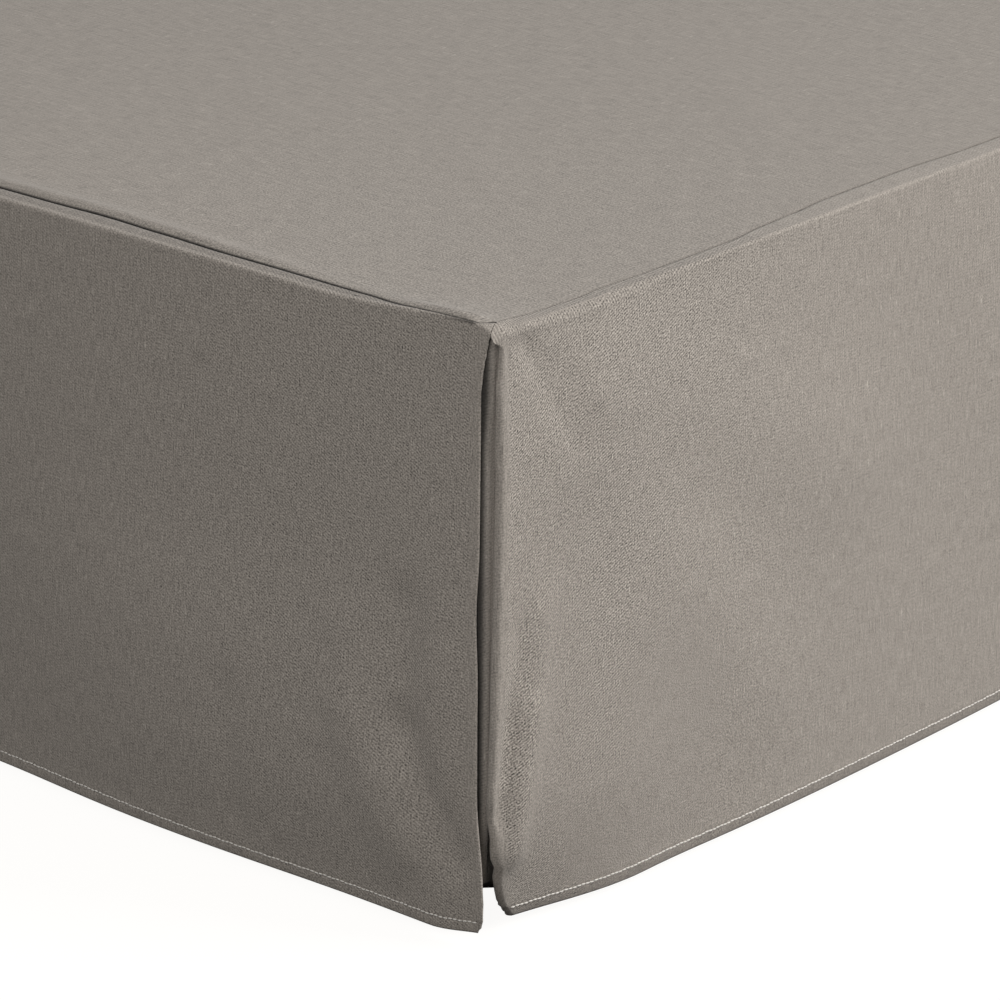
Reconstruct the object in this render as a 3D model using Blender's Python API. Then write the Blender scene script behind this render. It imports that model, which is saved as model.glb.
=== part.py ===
"""Tailored bed skirt on a plain bed base: a deck, three drops and two pleat underlays.

The skirt's deck lies on the base. A drop is sewn to each long side and to the foot, and the
head is open. Each foot corner is an inverted pleat: the two drops fold back behind
themselves, and an underlay fills the gap between their folds. All sizes are in metres, with
+Z up and the origin on the floor, under the middle of the whole.
"""

import math
from collections import namedtuple

import bmesh
import bpy
from mathutils import Vector

# Bed base
BASE_WIDTH = 1.500
BASE_LENGTH = 2.000
BASE_HEIGHT = 0.200
BASE_CORNER_RADIUS = 0.030
BASE_EDGE_RADIUS = 0.006
LEG_TOP_RADIUS = 0.030
LEG_FOOT_RADIUS = 0.022
LEG_INSET = 0.085
LEG_SIDES = 16

# Cloth
DECK_TOP = 0.350
CLOTH = 0.0015
HEM_THICKNESS = 0.0024
HEM_HEIGHT = 0.009
HEM_CLEARANCE = 0.006
HEAD_INSET = 0.010
GAP = 0.0003
SIDE_CLEARANCE = 0.010
EDGE_RADIUS = 0.006
SEAM_INSET = 0.013
SEAM_GAP = 0.00032
RIDGE_ROOM = 0.00022

# Corner pleats
PLEAT_DEPTH = 0.100
FOLD_RADIUS = 0.0020
LAYER_GAP = 0.0005
FOLD_OPENNESS = 0.012
SETBACK_RUN = 0.050
UNDERLAY_GAP = 0.0010
UNDERLAY_HEM = 0.0075
UNDERLAY_TOP = 0.3455
UNDERLAY_RADIUS = 0.014
SWING_HEIGHT = 0.135
HEM_EASE = 0.030
PLEAT_TOP = 0.3405
OVER_PLEAT = 0.3425

# Places worked out from the sizes above
BASE_TOP = DECK_TOP - CLOTH - GAP
HALF_WIDTH = BASE_WIDTH / 2 + SIDE_CLEARANCE
HALF_LENGTH = (BASE_LENGTH + SIDE_CLEARANCE) / 2
HEAD_EDGE = HALF_LENGTH - HEAD_INSET
SIDE_LENGTH = HALF_LENGTH + HEAD_EDGE
FOOT_LENGTH = 2 * HALF_WIDTH
BASE_MIDDLE = SIDE_CLEARANCE / 2
BACK_RADIUS = EDGE_RADIUS - CLOTH

# Where a grid's rows and columns fall
HEM_TOP = HEM_CLEARANCE + HEM_HEIGHT
FACE_HEIGHTS = (
    HEM_TOP, HEM_TOP + 0.001, 0.028, 0.045, 0.070, 0.100, SWING_HEIGHT, 0.185, 0.240, 0.290,
    0.325, PLEAT_TOP, OVER_PLEAT,
)
EDGE_ANGLES = (0.0, 45.0, 90.0)
PLEAT_STEPS = (0.007, 0.014, 0.024, 0.040, 0.065, PLEAT_DEPTH)
TURN_ANGLES = (0.0, 45.0, 90.0, 135.0, 180.0)
FACE_STEP = 0.052
DECK_MARGINS = (0.0, 0.004, 0.009, 0.016, 0.028, 0.060)
DECK_STEP = 0.055
ARC_STEPS = 6
LEG_SHARES = (0.0, 0.4, 0.75)

# A soft swell (depth > 0) or trough (depth < 0) of a drop. "along" runs from its foot corner.
Fold = namedtuple("Fold", "along height depth half_width half_height")
# A fold edge at one height: how far it is drawn back from the corner.
Setback = namedtuple("Setback", "height back")
# A drop's end at a pleat: its setbacks, and how far its hem curls in and lifts over a run.
Corner = namedtuple("Corner", "setbacks curl lift run")
# A soft ridge of the deck beside the foot seam. "along" runs from the right-hand corner.
Ridge = namedtuple("Ridge", "along height half_length")

FOOT_FOLDS = (
    Fold(along=0.075, height=0.085, depth=0.0035, half_width=0.060, half_height=0.065),
    Fold(along=0.090, height=0.000, depth=-0.0032, half_width=0.080, half_height=0.050),
    Fold(along=0.400, height=0.000, depth=-0.0095, half_width=0.095, half_height=0.160),
    Fold(along=0.560, height=0.020, depth=0.0040, half_width=0.080, half_height=0.180),
    Fold(along=0.800, height=0.000, depth=-0.0040, half_width=0.110, half_height=0.170),
    Fold(along=1.010, height=0.010, depth=0.0035, half_width=0.090, half_height=0.150),
    Fold(along=1.290, height=0.060, depth=-0.0030, half_width=0.100, half_height=0.130),
)
RIGHT_FOLDS = (
    Fold(along=0.030, height=0.110, depth=-0.0018, half_width=0.010, half_height=0.060),
    Fold(along=0.150, height=0.020, depth=-0.0020, half_width=0.050, half_height=0.120),
    Fold(along=0.300, height=0.090, depth=0.0020, half_width=0.090, half_height=0.120),
    Fold(along=0.560, height=0.000, depth=-0.0045, half_width=0.100, half_height=0.170),
    Fold(along=0.830, height=0.020, depth=0.0040, half_width=0.110, half_height=0.160),
    Fold(along=1.140, height=0.000, depth=-0.0040, half_width=0.100, half_height=0.180),
    Fold(along=1.420, height=0.040, depth=0.0035, half_width=0.120, half_height=0.150),
    Fold(along=1.720, height=0.000, depth=-0.0035, half_width=0.110, half_height=0.160),
)
LEFT_FOLDS = (
    Fold(along=0.110, height=0.060, depth=0.0030, half_width=0.070, half_height=0.110),
    Fold(along=0.340, height=0.000, depth=-0.0040, half_width=0.090, half_height=0.160),
    Fold(along=0.620, height=0.030, depth=0.0035, half_width=0.110, half_height=0.150),
    Fold(along=0.930, height=0.000, depth=-0.0045, half_width=0.100, half_height=0.170),
    Fold(along=1.260, height=0.020, depth=0.0040, half_width=0.120, half_height=0.170),
    Fold(along=1.600, height=0.000, depth=-0.0035, half_width=0.100, half_height=0.150),
)
FADE_LOW = 0.290
FADE_HIGH = 0.338

FOOT_CORNER = Corner(
    setbacks=(
        Setback(height=0.000, back=0.0135),
        Setback(height=0.030, back=0.0118),
        Setback(height=0.070, back=0.0120),
        Setback(height=0.150, back=0.0122),
        Setback(height=0.195, back=0.0143),
        Setback(height=0.230, back=0.0127),
        Setback(height=0.315, back=0.0132),
        Setback(height=0.334, back=0.0098),
        Setback(height=0.344, back=0.0072),
        Setback(height=0.350, back=0.0025),
    ),
    curl=0.006,
    lift=0.0045,
    run=0.045,
)
SIDE_CORNER = Corner(
    setbacks=(
        Setback(height=0.000, back=0.0330),
        Setback(height=0.030, back=0.0152),
        Setback(height=0.045, back=0.0102),
        Setback(height=0.080, back=0.0060),
        Setback(height=0.140, back=0.0052),
        Setback(height=0.200, back=0.0067),
        Setback(height=0.265, back=0.0082),
        Setback(height=0.325, back=0.0082),
        Setback(height=0.344, back=0.0098),
        Setback(height=0.351, back=0.0040),
    ),
    curl=0.010,
    lift=0.0095,
    run=0.115,
)
CURL_HEIGHT = 0.100

FOOT_RIDGES = (
    Ridge(along=0.060, height=0.0016, half_length=0.055),
    Ridge(along=0.290, height=0.0020, half_length=0.060),
    Ridge(along=0.620, height=0.0016, half_length=0.110),
    Ridge(along=1.050, height=0.0018, half_length=0.120),
    Ridge(along=1.380, height=0.0014, half_length=0.070),
)
RIDGE_PLACE = 0.009
RIDGE_HALF_WIDTH = 0.007


def clear_scene():
    """Removes every object that the file starts with."""
    for item in list(bpy.data.objects):
        bpy.data.objects.remove(item, do_unlink=True)


def material(name, colour, roughness, metallic=0.0):
    """A Principled material of one colour."""
    finish = bpy.data.materials.new(name)
    finish.use_nodes = True
    shader = finish.node_tree.nodes["Principled BSDF"]
    shader.inputs["Base Color"].default_value = (*colour, 1.0)
    shader.inputs["Roughness"].default_value = roughness
    shader.inputs["Metallic"].default_value = metallic
    finish.diffuse_color = (*colour, 1.0)
    return finish


def smooth(share):
    """An S-curve from 0 to 1."""
    share = min(max(share, 0.0), 1.0)
    return share * share * (3.0 - 2.0 * share)


def bell(distance, half_width):
    """A soft bump, 1 at its middle."""
    return math.exp(-((distance / half_width) ** 2))


def setback_at(corner, height):
    """How far the fold edge is drawn back from the corner at a height."""
    rows = corner.setbacks
    for low, high in zip(rows, rows[1:]):
        if height <= high.height:
            share = smooth((height - low.height) / (high.height - low.height))
            return low.back + (high.back - low.back) * share
    return rows[-1].back


def near_hem(height):
    """1 at the floor, falling to 0 at the top of the curl."""
    return max(0.0, 1.0 - height / CURL_HEIGHT) ** 2


def corner_share(corner, distance, height):
    """1 at a pleat's hem, falling to 0 along the drop and up it."""
    return (1.0 - smooth(distance / corner.run)) * near_hem(height)


class Drop:
    """One hanging side: where it lies in plan, its folds and its pleated ends."""

    def __init__(self, start, along, outward, length, folds, first, last=None):
        self.start = Vector(start)
        self.along = Vector(along)
        self.outward = Vector(outward)
        self.length = length
        self.folds = folds
        self.first = first
        self.last = last

    def swell(self, along, height):
        """How far the face stands out of its plane."""
        total = sum(
            fold.depth * bell(along - fold.along, fold.half_width)
            * bell(height - fold.height, fold.half_height)
            for fold in self.folds
        )
        total *= 1.0 - smooth((height - FADE_LOW) / (FADE_HIGH - FADE_LOW))
        total -= self.first.curl * corner_share(self.first, along, height)
        if self.last:
            total -= self.last.curl * corner_share(self.last, self.length - along, height)
        return total

    def lift(self, along, height):
        """How far a point is raised by the lifted hem at a pleat."""
        total = self.first.lift * corner_share(self.first, along, height)
        if self.last:
            total += self.last.lift * corner_share(self.last, self.length - along, height)
        return total

    def point(self, along, depth, height):
        """A point of the drop: depth is measured inwards from the face's own plane."""
        raised = height + self.lift(along, height)
        place = self.start + self.along * along - self.outward * depth
        return Vector((place.x, place.y, raised))

    def from_edge(self, distance, height, inset, at_end):
        """Distance along the drop of a point that lies this far from its fold edge."""
        corner = self.last if at_end else self.first
        back = max(setback_at(corner, height), inset + GAP) * math.exp(-distance / SETBACK_RUN)
        place = distance + back
        return self.length - place if at_end else place

    def pleat_point(self, distance, depth, height, at_end=False):
        """A point of the hanging cloth near a pleat, with the face's folds."""
        along = self.from_edge(distance, height, 0.0, at_end)
        return self.point(along, depth - self.swell(along, height), height)


def drops():
    """The three drops. Each starts at a foot corner, and the foot's drop ends at the other."""
    right_corner = (HALF_WIDTH, -HALF_LENGTH, 0.0)
    left_corner = (-HALF_WIDTH, -HALF_LENGTH, 0.0)
    return {
        "drop_right": Drop(
            right_corner, (0, 1, 0), (1, 0, 0), SIDE_LENGTH, RIGHT_FOLDS, SIDE_CORNER
        ),
        "drop_left": Drop(
            left_corner, (0, 1, 0), (-1, 0, 0), SIDE_LENGTH, LEFT_FOLDS, SIDE_CORNER
        ),
        "drop_foot": Drop(
            right_corner, (-1, 0, 0), (0, -1, 0), FOOT_LENGTH, FOOT_FOLDS, FOOT_CORNER, FOOT_CORNER
        ),
    }


def layer_gap(distance):
    """The space between a drop and its return, wider at the fold than behind it."""
    return LAYER_GAP + (2 * FOLD_RADIUS - LAYER_GAP) * math.exp(-distance / FOLD_OPENNESS)


# A column of a drop's grid: its place, the pleat it belongs to, and its turn round the fold.
Column = namedtuple("Column", "place pleat turn")
# A row: its height on the face, or its angle round the top edge, or the seam.
Row = namedtuple("Row", "height angle seam")


def pleat_columns(at_end):
    """Columns from a return's free edge, round the fold and out along the face."""
    pleat = "end" if at_end else "start"
    behind = [Column(step, pleat, 180.0) for step in reversed(PLEAT_STEPS)]
    fold = [Column(None, pleat, turn) for turn in reversed(TURN_ANGLES)]
    front = [Column(step, pleat, 0.0) for step in PLEAT_STEPS]
    columns = behind + fold + front
    return columns[::-1] if at_end else columns


def face_columns(low, high):
    """Evenly spaced columns strictly between two places along a drop."""
    count = round((high - low) / FACE_STEP)
    return [Column(low + (high - low) * i / count, None, 0.0) for i in range(1, count)]


def drop_columns(drop):
    """All columns of a drop, from its first corner to its other end."""
    columns = pleat_columns(at_end=False)
    if drop.last:
        columns += face_columns(PLEAT_DEPTH, drop.length - PLEAT_DEPTH)
        return columns + pleat_columns(at_end=True)
    columns += face_columns(PLEAT_DEPTH, drop.length - HEM_HEIGHT)
    edges = (drop.length - HEM_HEIGHT - CLOTH, drop.length - HEM_HEIGHT, drop.length)
    return columns + [Column(edge, None, 0.0) for edge in edges]


def drop_rows():
    """All rows of a drop, from the hem to the seam."""
    rows = [Row(height, None, False) for height in (HEM_CLEARANCE, *FACE_HEIGHTS)]
    rows += [Row(None, angle, False) for angle in EDGE_ANGLES]
    return rows + [Row(None, None, True)]


def drop_place(drop, column, row):
    """The point of a drop's back face at a column and a row."""
    if row.height is not None:
        depth, height, inset = CLOTH, row.height, 0.0
    elif row.seam:
        depth, height, inset = SEAM_INSET, DECK_TOP - CLOTH, SEAM_INSET
    else:
        angle = math.radians(row.angle)
        depth = EDGE_RADIUS - BACK_RADIUS * math.cos(angle)
        height = DECK_TOP - EDGE_RADIUS + BACK_RADIUS * math.sin(angle)
        inset = EDGE_RADIUS * (1.0 - math.cos(angle))
    if column.pleat is None:
        along = column.place
    else:
        turn = math.radians(column.turn)
        at_end = column.pleat == "end"
        distance = column.place
        if distance is None:
            distance = CLOTH + FOLD_RADIUS * (1.0 - math.sin(turn))
            behind = FOLD_RADIUS * (1.0 - math.cos(turn))
        else:
            behind = layer_gap(distance) if column.turn else 0.0
        along = drop.from_edge(distance, height, inset, at_end)
        if height <= PLEAT_TOP:
            depth += behind
    return drop.point(along, depth - drop.swell(along, height), height)


def grid_sheet(columns, rows, place, keep=None):
    """A sheet of cloth's back face: a grid with each point put in its place."""
    sheet = bmesh.new()
    across, up = len(columns) - 1, len(rows) - 1
    bmesh.ops.create_grid(sheet, x_segments=across, y_segments=up, size=0.5)
    index = {
        vertex: (round((vertex.co.x + 0.5) * across), round((vertex.co.y + 0.5) * up))
        for vertex in sheet.verts
    }
    if keep:
        cut = [
            face for face in sheet.faces
            if not keep([index[vertex] for vertex in face.verts])
        ]
        bmesh.ops.delete(sheet, geom=cut, context="FACES")
    for vertex in sheet.verts:
        i, j = index[vertex]
        vertex.co = place(columns[i], rows[j])
    return sheet, index


def cloth_object(name, sheet, hem, outwards, finish):
    """Makes a sheet an object of real thickness, thicker along its hem."""
    if not outwards:
        bmesh.ops.reverse_faces(sheet, faces=sheet.faces)
    sheet.verts.index_update()
    hem_points = [vertex.index for vertex in sheet.verts if vertex in hem]
    mesh = bpy.data.meshes.new(name)
    sheet.to_mesh(mesh)
    sheet.free()
    mesh.materials.append(finish)
    mesh.shade_smooth()
    item = bpy.data.objects.new(name, mesh)
    bpy.context.scene.collection.objects.link(item)
    group = item.vertex_groups.new(name="hem")
    group.add(hem_points, 1.0, "REPLACE")
    thicken = item.modifiers.new("Thickness", "SOLIDIFY")
    thicken.thickness = HEM_THICKNESS
    thicken.offset = 1.0
    thicken.use_even_offset = True
    thicken.vertex_group = "hem"
    thicken.thickness_vertex_group = CLOTH / HEM_THICKNESS
    return item


def hangs_as_cloth(columns, rows):
    """Tells which faces of a drop's grid are cloth: a return stops below the top edge."""
    stop = 1 + FACE_HEIGHTS.index(PLEAT_TOP)

    def keep(corners):
        over_edge = max(j for _, j in corners) > stop
        behind = all(columns[i].turn >= 90.0 for i, _ in corners)
        return not (over_edge and behind)

    return keep


def build_drop(name, drop, finish):
    """A drop with its returns, its hem and the strip that wraps the top edge."""
    columns, rows = drop_columns(drop), drop_rows()
    sheet, index = grid_sheet(
        columns, rows, lambda column, row: drop_place(drop, column, row),
        hangs_as_cloth(columns, rows),
    )
    side_hem = len(columns) - 2
    hem = {
        vertex for vertex, (i, j) in index.items()
        if vertex.is_valid and (j <= 1 or (i >= side_hem and not drop.last))
    }
    along_out = drop.along.cross(Vector((0, 0, 1))).dot(drop.outward)
    return cloth_object(name, sheet, hem, along_out > 0, finish)


def underlay_depth(distance, height):
    """How far an underlay's front lies behind a drop's face, clear of the return and its hem."""
    hem = (HEM_THICKNESS - CLOTH) * (1.0 - smooth((height - HEM_TOP) / HEM_EASE))
    return 2 * CLOTH + layer_gap(distance) + UNDERLAY_GAP + hem


def underlay_line(foot, side, at_end, height):
    """The underlay's front at one height: round the corner, but straight across at the hem."""
    reach = underlay_depth(0.0, height) + UNDERLAY_RADIUS

    def leg(drop, ends):
        """Points from the pleat's depth towards the corner."""
        points = []
        for share in LEG_SHARES:
            distance = PLEAT_DEPTH - (PLEAT_DEPTH - reach) * share
            depth = underlay_depth(distance, height)
            points.append(drop.pleat_point(distance, depth, height, ends))
        return points

    first, second = leg(foot, at_end), leg(side, False)
    corner = foot.start + foot.along * (foot.length if at_end else 0.0)
    centre = corner + (foot.along * (-1.0 if at_end else 1.0) + side.along) * reach
    arc = []
    for step in range(ARC_STEPS + 1):
        turn = math.radians(90.0 * step / ARC_STEPS)
        spoke = foot.outward * math.cos(turn) + side.outward * math.sin(turn)
        place = centre + spoke * UNDERLAY_RADIUS
        arc.append(Vector((place.x, place.y, height)))
    line = first + arc + second[::-1]
    swing = smooth(1.0 - (height - UNDERLAY_HEM) / (SWING_HEIGHT - UNDERLAY_HEM))
    across = line[-1] - line[0]
    direction = across.normalized()
    flat = [line[0] + direction * (point - line[0]).dot(direction) for point in line]
    return [point.lerp(straight, swing) for point, straight in zip(line, flat)]


def build_underlay(name, foot, side, at_end, finish):
    """The cloth behind a corner pleat: it follows the corner and swings in at its hem."""
    hem_top = UNDERLAY_HEM + HEM_HEIGHT
    above = [height for height in FACE_HEIGHTS if hem_top < height]
    heights = [UNDERLAY_HEM, hem_top - CLOTH, *above, UNDERLAY_TOP]
    lines = [underlay_line(foot, side, at_end, height) for height in heights]
    columns = range(len(lines[0]))
    rows = range(len(heights))
    sheet, index = grid_sheet(columns, rows, lambda i, j: lines[j][i])
    hem = {vertex for vertex, (_, j) in index.items() if j <= 1}
    return cloth_object(name, sheet, hem, at_end, finish)


def deck_stations(low, high, from_high):
    """Grid lines across the deck: close together beside a seam, wide apart in the middle."""
    near = [low + margin for margin in DECK_MARGINS]
    far = [high - margin for margin in reversed(DECK_MARGINS)] if from_high else [high]
    start, end = near[-1], far[0]
    count = round((end - start) / DECK_STEP)
    return near + [start + (end - start) * i / count for i in range(1, count)] + far


def deck_rise(x, y):
    """How far the deck's cloth puffs up beside the foot seam."""
    along = HALF_WIDTH - x
    from_seam = y + HALF_LENGTH - SEAM_INSET
    height = sum(
        ridge.height * bell(along - ridge.along, ridge.half_length) for ridge in FOOT_RIDGES
    )
    across = bell(from_seam - RIDGE_PLACE, RIDGE_HALF_WIDTH) * smooth(from_seam / RIDGE_PLACE)
    return height * across


def build_deck(finish):
    """The deck, flat on the base but for soft ridges along the foot seam."""
    side = HALF_WIDTH - SEAM_INSET - SEAM_GAP
    foot = -HALF_LENGTH + SEAM_INSET + SEAM_GAP + RIDGE_ROOM
    columns = deck_stations(-side, side, from_high=True)
    rows = deck_stations(foot, HEAD_EDGE - HEM_HEIGHT, from_high=False)
    rows += [HEAD_EDGE - HEM_HEIGHT + CLOTH, HEAD_EDGE]
    flat = DECK_TOP - CLOTH
    sheet, index = grid_sheet(
        columns, rows, lambda x, y: Vector((x, y, flat + deck_rise(x, y)))
    )
    hem = {vertex for vertex, (_, j) in index.items() if j >= len(rows) - 2}
    return cloth_object("deck", sheet, hem, True, finish)


def rigid_object(name, form, finish):
    """Makes a bmesh an object of one material."""
    mesh = bpy.data.meshes.new(name)
    form.to_mesh(mesh)
    form.free()
    mesh.materials.append(finish)
    mesh.shade_smooth()
    mesh.set_sharp_from_angle(angle=math.radians(30))
    item = bpy.data.objects.new(name, mesh)
    bpy.context.scene.collection.objects.link(item)
    return item


def round_edges(form, edges, radius, segments):
    """Rounds the given edges of a form."""
    bmesh.ops.bevel(
        form, geom=edges, offset=radius, segments=segments, profile=0.5,
        affect="EDGES", offset_type="OFFSET", material=-1,
    )


def build_base(finish):
    """The plain upholstered base: a slab with rounded corners and edges."""
    form = bmesh.new()
    bmesh.ops.create_cube(form, size=1.0)
    bmesh.ops.scale(form, verts=form.verts, vec=(BASE_WIDTH, BASE_LENGTH, BASE_HEIGHT))
    middle = Vector((0.0, BASE_MIDDLE, BASE_TOP - BASE_HEIGHT / 2))
    bmesh.ops.translate(form, verts=form.verts, vec=middle)
    upright = [e for e in form.edges if abs(e.verts[0].co.z - e.verts[1].co.z) > GAP]
    round_edges(form, upright, BASE_CORNER_RADIUS, 5)
    level = [
        e for e in form.edges
        if abs(e.verts[0].co.z - e.verts[1].co.z) < GAP
        and abs(abs(e.verts[0].co.z - middle.z) - BASE_HEIGHT / 2) < GAP
        and e.is_manifold and e.calc_face_angle() > 1.0
    ]
    round_edges(form, level, BASE_EDGE_RADIUS, 2)
    return rigid_object("bed_base", form, finish)


def build_leg(name, x, y, finish):
    """A turned leg, flat on the floor."""
    height = BASE_TOP - BASE_HEIGHT - GAP
    form = bmesh.new()
    bmesh.ops.create_cone(
        form, cap_ends=True, cap_tris=False, segments=LEG_SIDES,
        radius1=LEG_FOOT_RADIUS, radius2=LEG_TOP_RADIUS, depth=height,
    )
    bmesh.ops.translate(form, verts=form.verts, vec=(0.0, 0.0, height / 2))
    leg = rigid_object(name, form, finish)
    leg.location = (x, y, 0.0)
    return leg


def build_legs(finish):
    """Three legs down each side of the base."""
    out = BASE_WIDTH / 2 - LEG_INSET
    end = BASE_LENGTH / 2 - LEG_INSET
    for side, x in (("right", out), ("left", -out)):
        for place, y in (("foot", -end), ("middle", 0.0), ("head", end)):
            build_leg(f"leg_{side}_{place}", x, BASE_MIDDLE + y, finish)


def main():
    clear_scene()
    cloth = material("Taupe twill", (0.31, 0.28, 0.25), 0.9)
    pleat = material("Pleat twill", (0.28, 0.25, 0.225), 0.9)
    base_cloth = material("Base cover", (0.70, 0.69, 0.66), 0.85)
    leg_finish = material("Leg wood", (0.16, 0.10, 0.06), 0.5)
    sides = drops()
    for name, drop in sides.items():
        build_drop(name, drop, cloth)
    build_underlay("pleat_underlay_right", sides["drop_foot"], sides["drop_right"], False, pleat)
    build_underlay("pleat_underlay_left", sides["drop_foot"], sides["drop_left"], True, pleat)
    build_deck(cloth)
    build_base(base_cloth)
    build_legs(leg_finish)


main()
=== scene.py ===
"""Looks of a tailored bed skirt that hangs over a plain bed base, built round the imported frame.

The skirt's cloth is made as thin sheets that lie on the folds of their solids: a deck, three
drops with their returns, and the two underlays behind the split foot corners. The hems carry
their own stitches. The base and its legs keep their solids and get their own finishes. All
sizes are in metres, with +Z up and the bed's foot towards -Y.
"""

import logging
import math
from dataclasses import dataclass, field
from enum import Enum
from typing import Callable, NamedTuple, TypeVar

import bmesh
import bpy
from mathutils import Matrix, Vector


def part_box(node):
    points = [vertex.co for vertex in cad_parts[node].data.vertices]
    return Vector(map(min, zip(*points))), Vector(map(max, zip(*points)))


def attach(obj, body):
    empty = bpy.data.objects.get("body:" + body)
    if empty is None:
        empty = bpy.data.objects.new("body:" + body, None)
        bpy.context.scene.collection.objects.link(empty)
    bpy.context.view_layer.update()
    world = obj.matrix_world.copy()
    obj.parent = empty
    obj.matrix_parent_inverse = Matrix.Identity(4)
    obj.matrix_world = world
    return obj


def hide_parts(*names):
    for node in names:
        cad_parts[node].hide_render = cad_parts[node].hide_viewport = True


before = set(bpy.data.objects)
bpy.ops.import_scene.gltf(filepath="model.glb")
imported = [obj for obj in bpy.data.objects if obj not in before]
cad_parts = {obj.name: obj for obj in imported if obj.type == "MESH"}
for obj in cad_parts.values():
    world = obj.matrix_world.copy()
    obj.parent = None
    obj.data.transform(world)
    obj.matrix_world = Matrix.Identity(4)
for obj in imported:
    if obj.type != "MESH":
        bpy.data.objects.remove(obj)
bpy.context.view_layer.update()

LOG = logging.getLogger("bed_skirt")
BODY = "root"
UV_NAME = "cloth"
PUCKER_NAME = "seam_pucker"
# The mark for painted shade: along seams, at hems, on the top strips and in the pleats.
PAINTED_SHADE_NAME = "painted_shade"
FADE_NAME = "weave_fade"
SEAM_LINE = 0.0012
TAUPE = (0.288, 0.257, 0.225)
UP = Vector((0.0, 0.0, 1.0))

Number = float | bpy.types.NodeSocket
RowKind = TypeVar("RowKind", bound=tuple)


# ---------------------------------------------------------------------------
# Small curves
# ---------------------------------------------------------------------------


def smooth(share: float) -> float:
    """An S-curve from 0 to 1."""
    share = min(max(share, 0.0), 1.0)
    return share * share * (3.0 - 2.0 * share)


def bell(distance: float, half_width: float) -> float:
    """A soft bump, 1 at its middle."""
    return math.exp(-((distance / half_width) ** 2))


class Ramp(NamedTuple):
    """A soft step: the place where it starts, and the run over which it gets from 0 to 1."""

    start: float
    run: float

    def up(self, place: float) -> float:
        """The step's share at a place."""
        return smooth((place - self.start) / self.run)

    def down(self, place: float) -> float:
        """What the step leaves at a place."""
        return 1.0 - self.up(place)


def rows_of(kind: type[RowKind], *rows: tuple[float, ...]) -> tuple[RowKind, ...]:
    """Makes a table's rows.

    Args:
        kind: The named tuple that says what the numbers of a row are, in order.
        rows: The plain rows.

    Returns:
        The named rows.
    """
    return tuple(kind(*row) for row in rows)


def steps(low: float, high: float, step: float) -> list[float]:
    """Evenly spaced places strictly between two others.

    Args:
        low: The place before the first.
        high: The place after the last.
        step: About how far apart they are.

    Returns:
        The places in order.
    """
    count = max(1, round((high - low) / step))
    return [low + (high - low) * i / count for i in range(1, count)]


# ---------------------------------------------------------------------------
# Sizes
# ---------------------------------------------------------------------------


class Slot(Enum):
    """The record's material slots."""

    SKIRT = "skirt_cloth"
    PLEAT = "pleat_cloth"
    BASE = "base_cover"
    LEG = "leg_wood"


class End(Enum):
    """Which end of a drop a pleat is at."""

    START = "start"
    FINISH = "finish"


@dataclass(frozen=True)
class Plan:
    """The skirt's place and the sizes that its pieces share."""

    half_width: float
    half_length: float
    head_edge: float
    deck_top: float
    cloth: float = 0.0008
    solid_cloth: float = 0.0015
    hem_cloth: float = 0.0019
    hem_height: float = 0.009
    hem_clearance: float = 0.005
    stitch_height: float = 0.0070
    edge_radius: float = 0.0018
    soft_radius: float = 0.0060
    seam_inset: float = 0.013
    seam_gap: float = 0.0002
    pleat_depth: float = 0.100
    fold_openness: float = 0.012
    layer_gap: float = 0.0005
    setback_run: float = 0.110
    ease: float = 0.010
    lay: float = 0.0018
    pleat_top: float = 0.3425

    @classmethod
    def from_frame(cls) -> "Plan":
        """Works the plan out from the base that the skirt hangs over.

        Returns:
            The plan, fitted to the base.
        """
        low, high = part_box("bed_base")
        return cls(
            half_width=high.x + cls.ease,
            half_length=cls.ease - low.y,
            head_edge=high.y - cls.ease,
            deck_top=high.z + cls.lay,
        )

    @property
    def foot_length(self) -> float:
        """The foot drop's length along its face."""
        return 2.0 * self.half_width

    @property
    def side_length(self) -> float:
        """A side drop's length along its face."""
        return self.half_length + self.head_edge


class Swell(NamedTuple):
    """A broad soft swell of a drop, or a trough where its depth is negative."""

    along: float
    height: float
    depth: float
    half_width: float
    half_height: float

    def at(self, along: float, height: float) -> float:
        """How far the swell lifts the cloth at a point."""
        across = bell(along - self.along, self.half_width)
        return self.depth * across * bell(height - self.height, self.half_height)


class Crease(NamedTuple):
    """A soft ridge from one point of a piece to another, or a trough where its rise is negative."""

    from_along: float
    from_height: float
    to_along: float
    to_height: float
    rise: float
    half_width: float

    def at(self, along: float, height: float) -> float:
        """How far the crease lifts the cloth at a point.

        Args:
            along: The point's first measure, along the piece.
            height: Its second measure, up the piece.

        Returns:
            The lift, below 0 in a trough.
        """
        run, climb = self.to_along - self.from_along, self.to_height - self.from_height
        near_along, near_height = along - self.from_along, height - self.from_height
        share = (near_along * run + near_height * climb) / (run * run + climb * climb)
        share = min(max(share, 0.0), 1.0)
        distance = math.hypot(near_along - run * share, near_height - climb * share)
        if distance > 3.0 * self.half_width:
            return 0.0
        return self.rise * bell(distance, self.half_width)


class Level(NamedTuple):
    """One row of a curve: a place, and the curve's value there."""

    place: float
    value: float


def between(rows: tuple[Level, ...], place: float) -> float:
    """A curve's value at a place, with soft turns at its rows and level ends.

    Args:
        rows: The curve's rows, in order of place.
        place: Where the value is wanted.

    Returns:
        The value there.
    """
    if place <= rows[0].place:
        return rows[0].value
    for low, high in zip(rows, rows[1:]):
        if place <= high.place:
            share = smooth((place - low.place) / (high.place - low.place))
            return low.value + (high.value - low.value) * share
    return rows[-1].value


class Ridge(NamedTuple):
    """A puffed stretch of the deck beside the foot seam, at a distance from it."""

    along: float
    rise: float
    half_length: float
    from_seam: float
    half_width: float

    def at(self, along: float, from_seam: float) -> float:
        """How far the ridge lifts the cloth at a point."""
        lengthwise = bell(along - self.along, self.half_length)
        return self.rise * lengthwise * bell(from_seam - self.from_seam, self.half_width)


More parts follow.
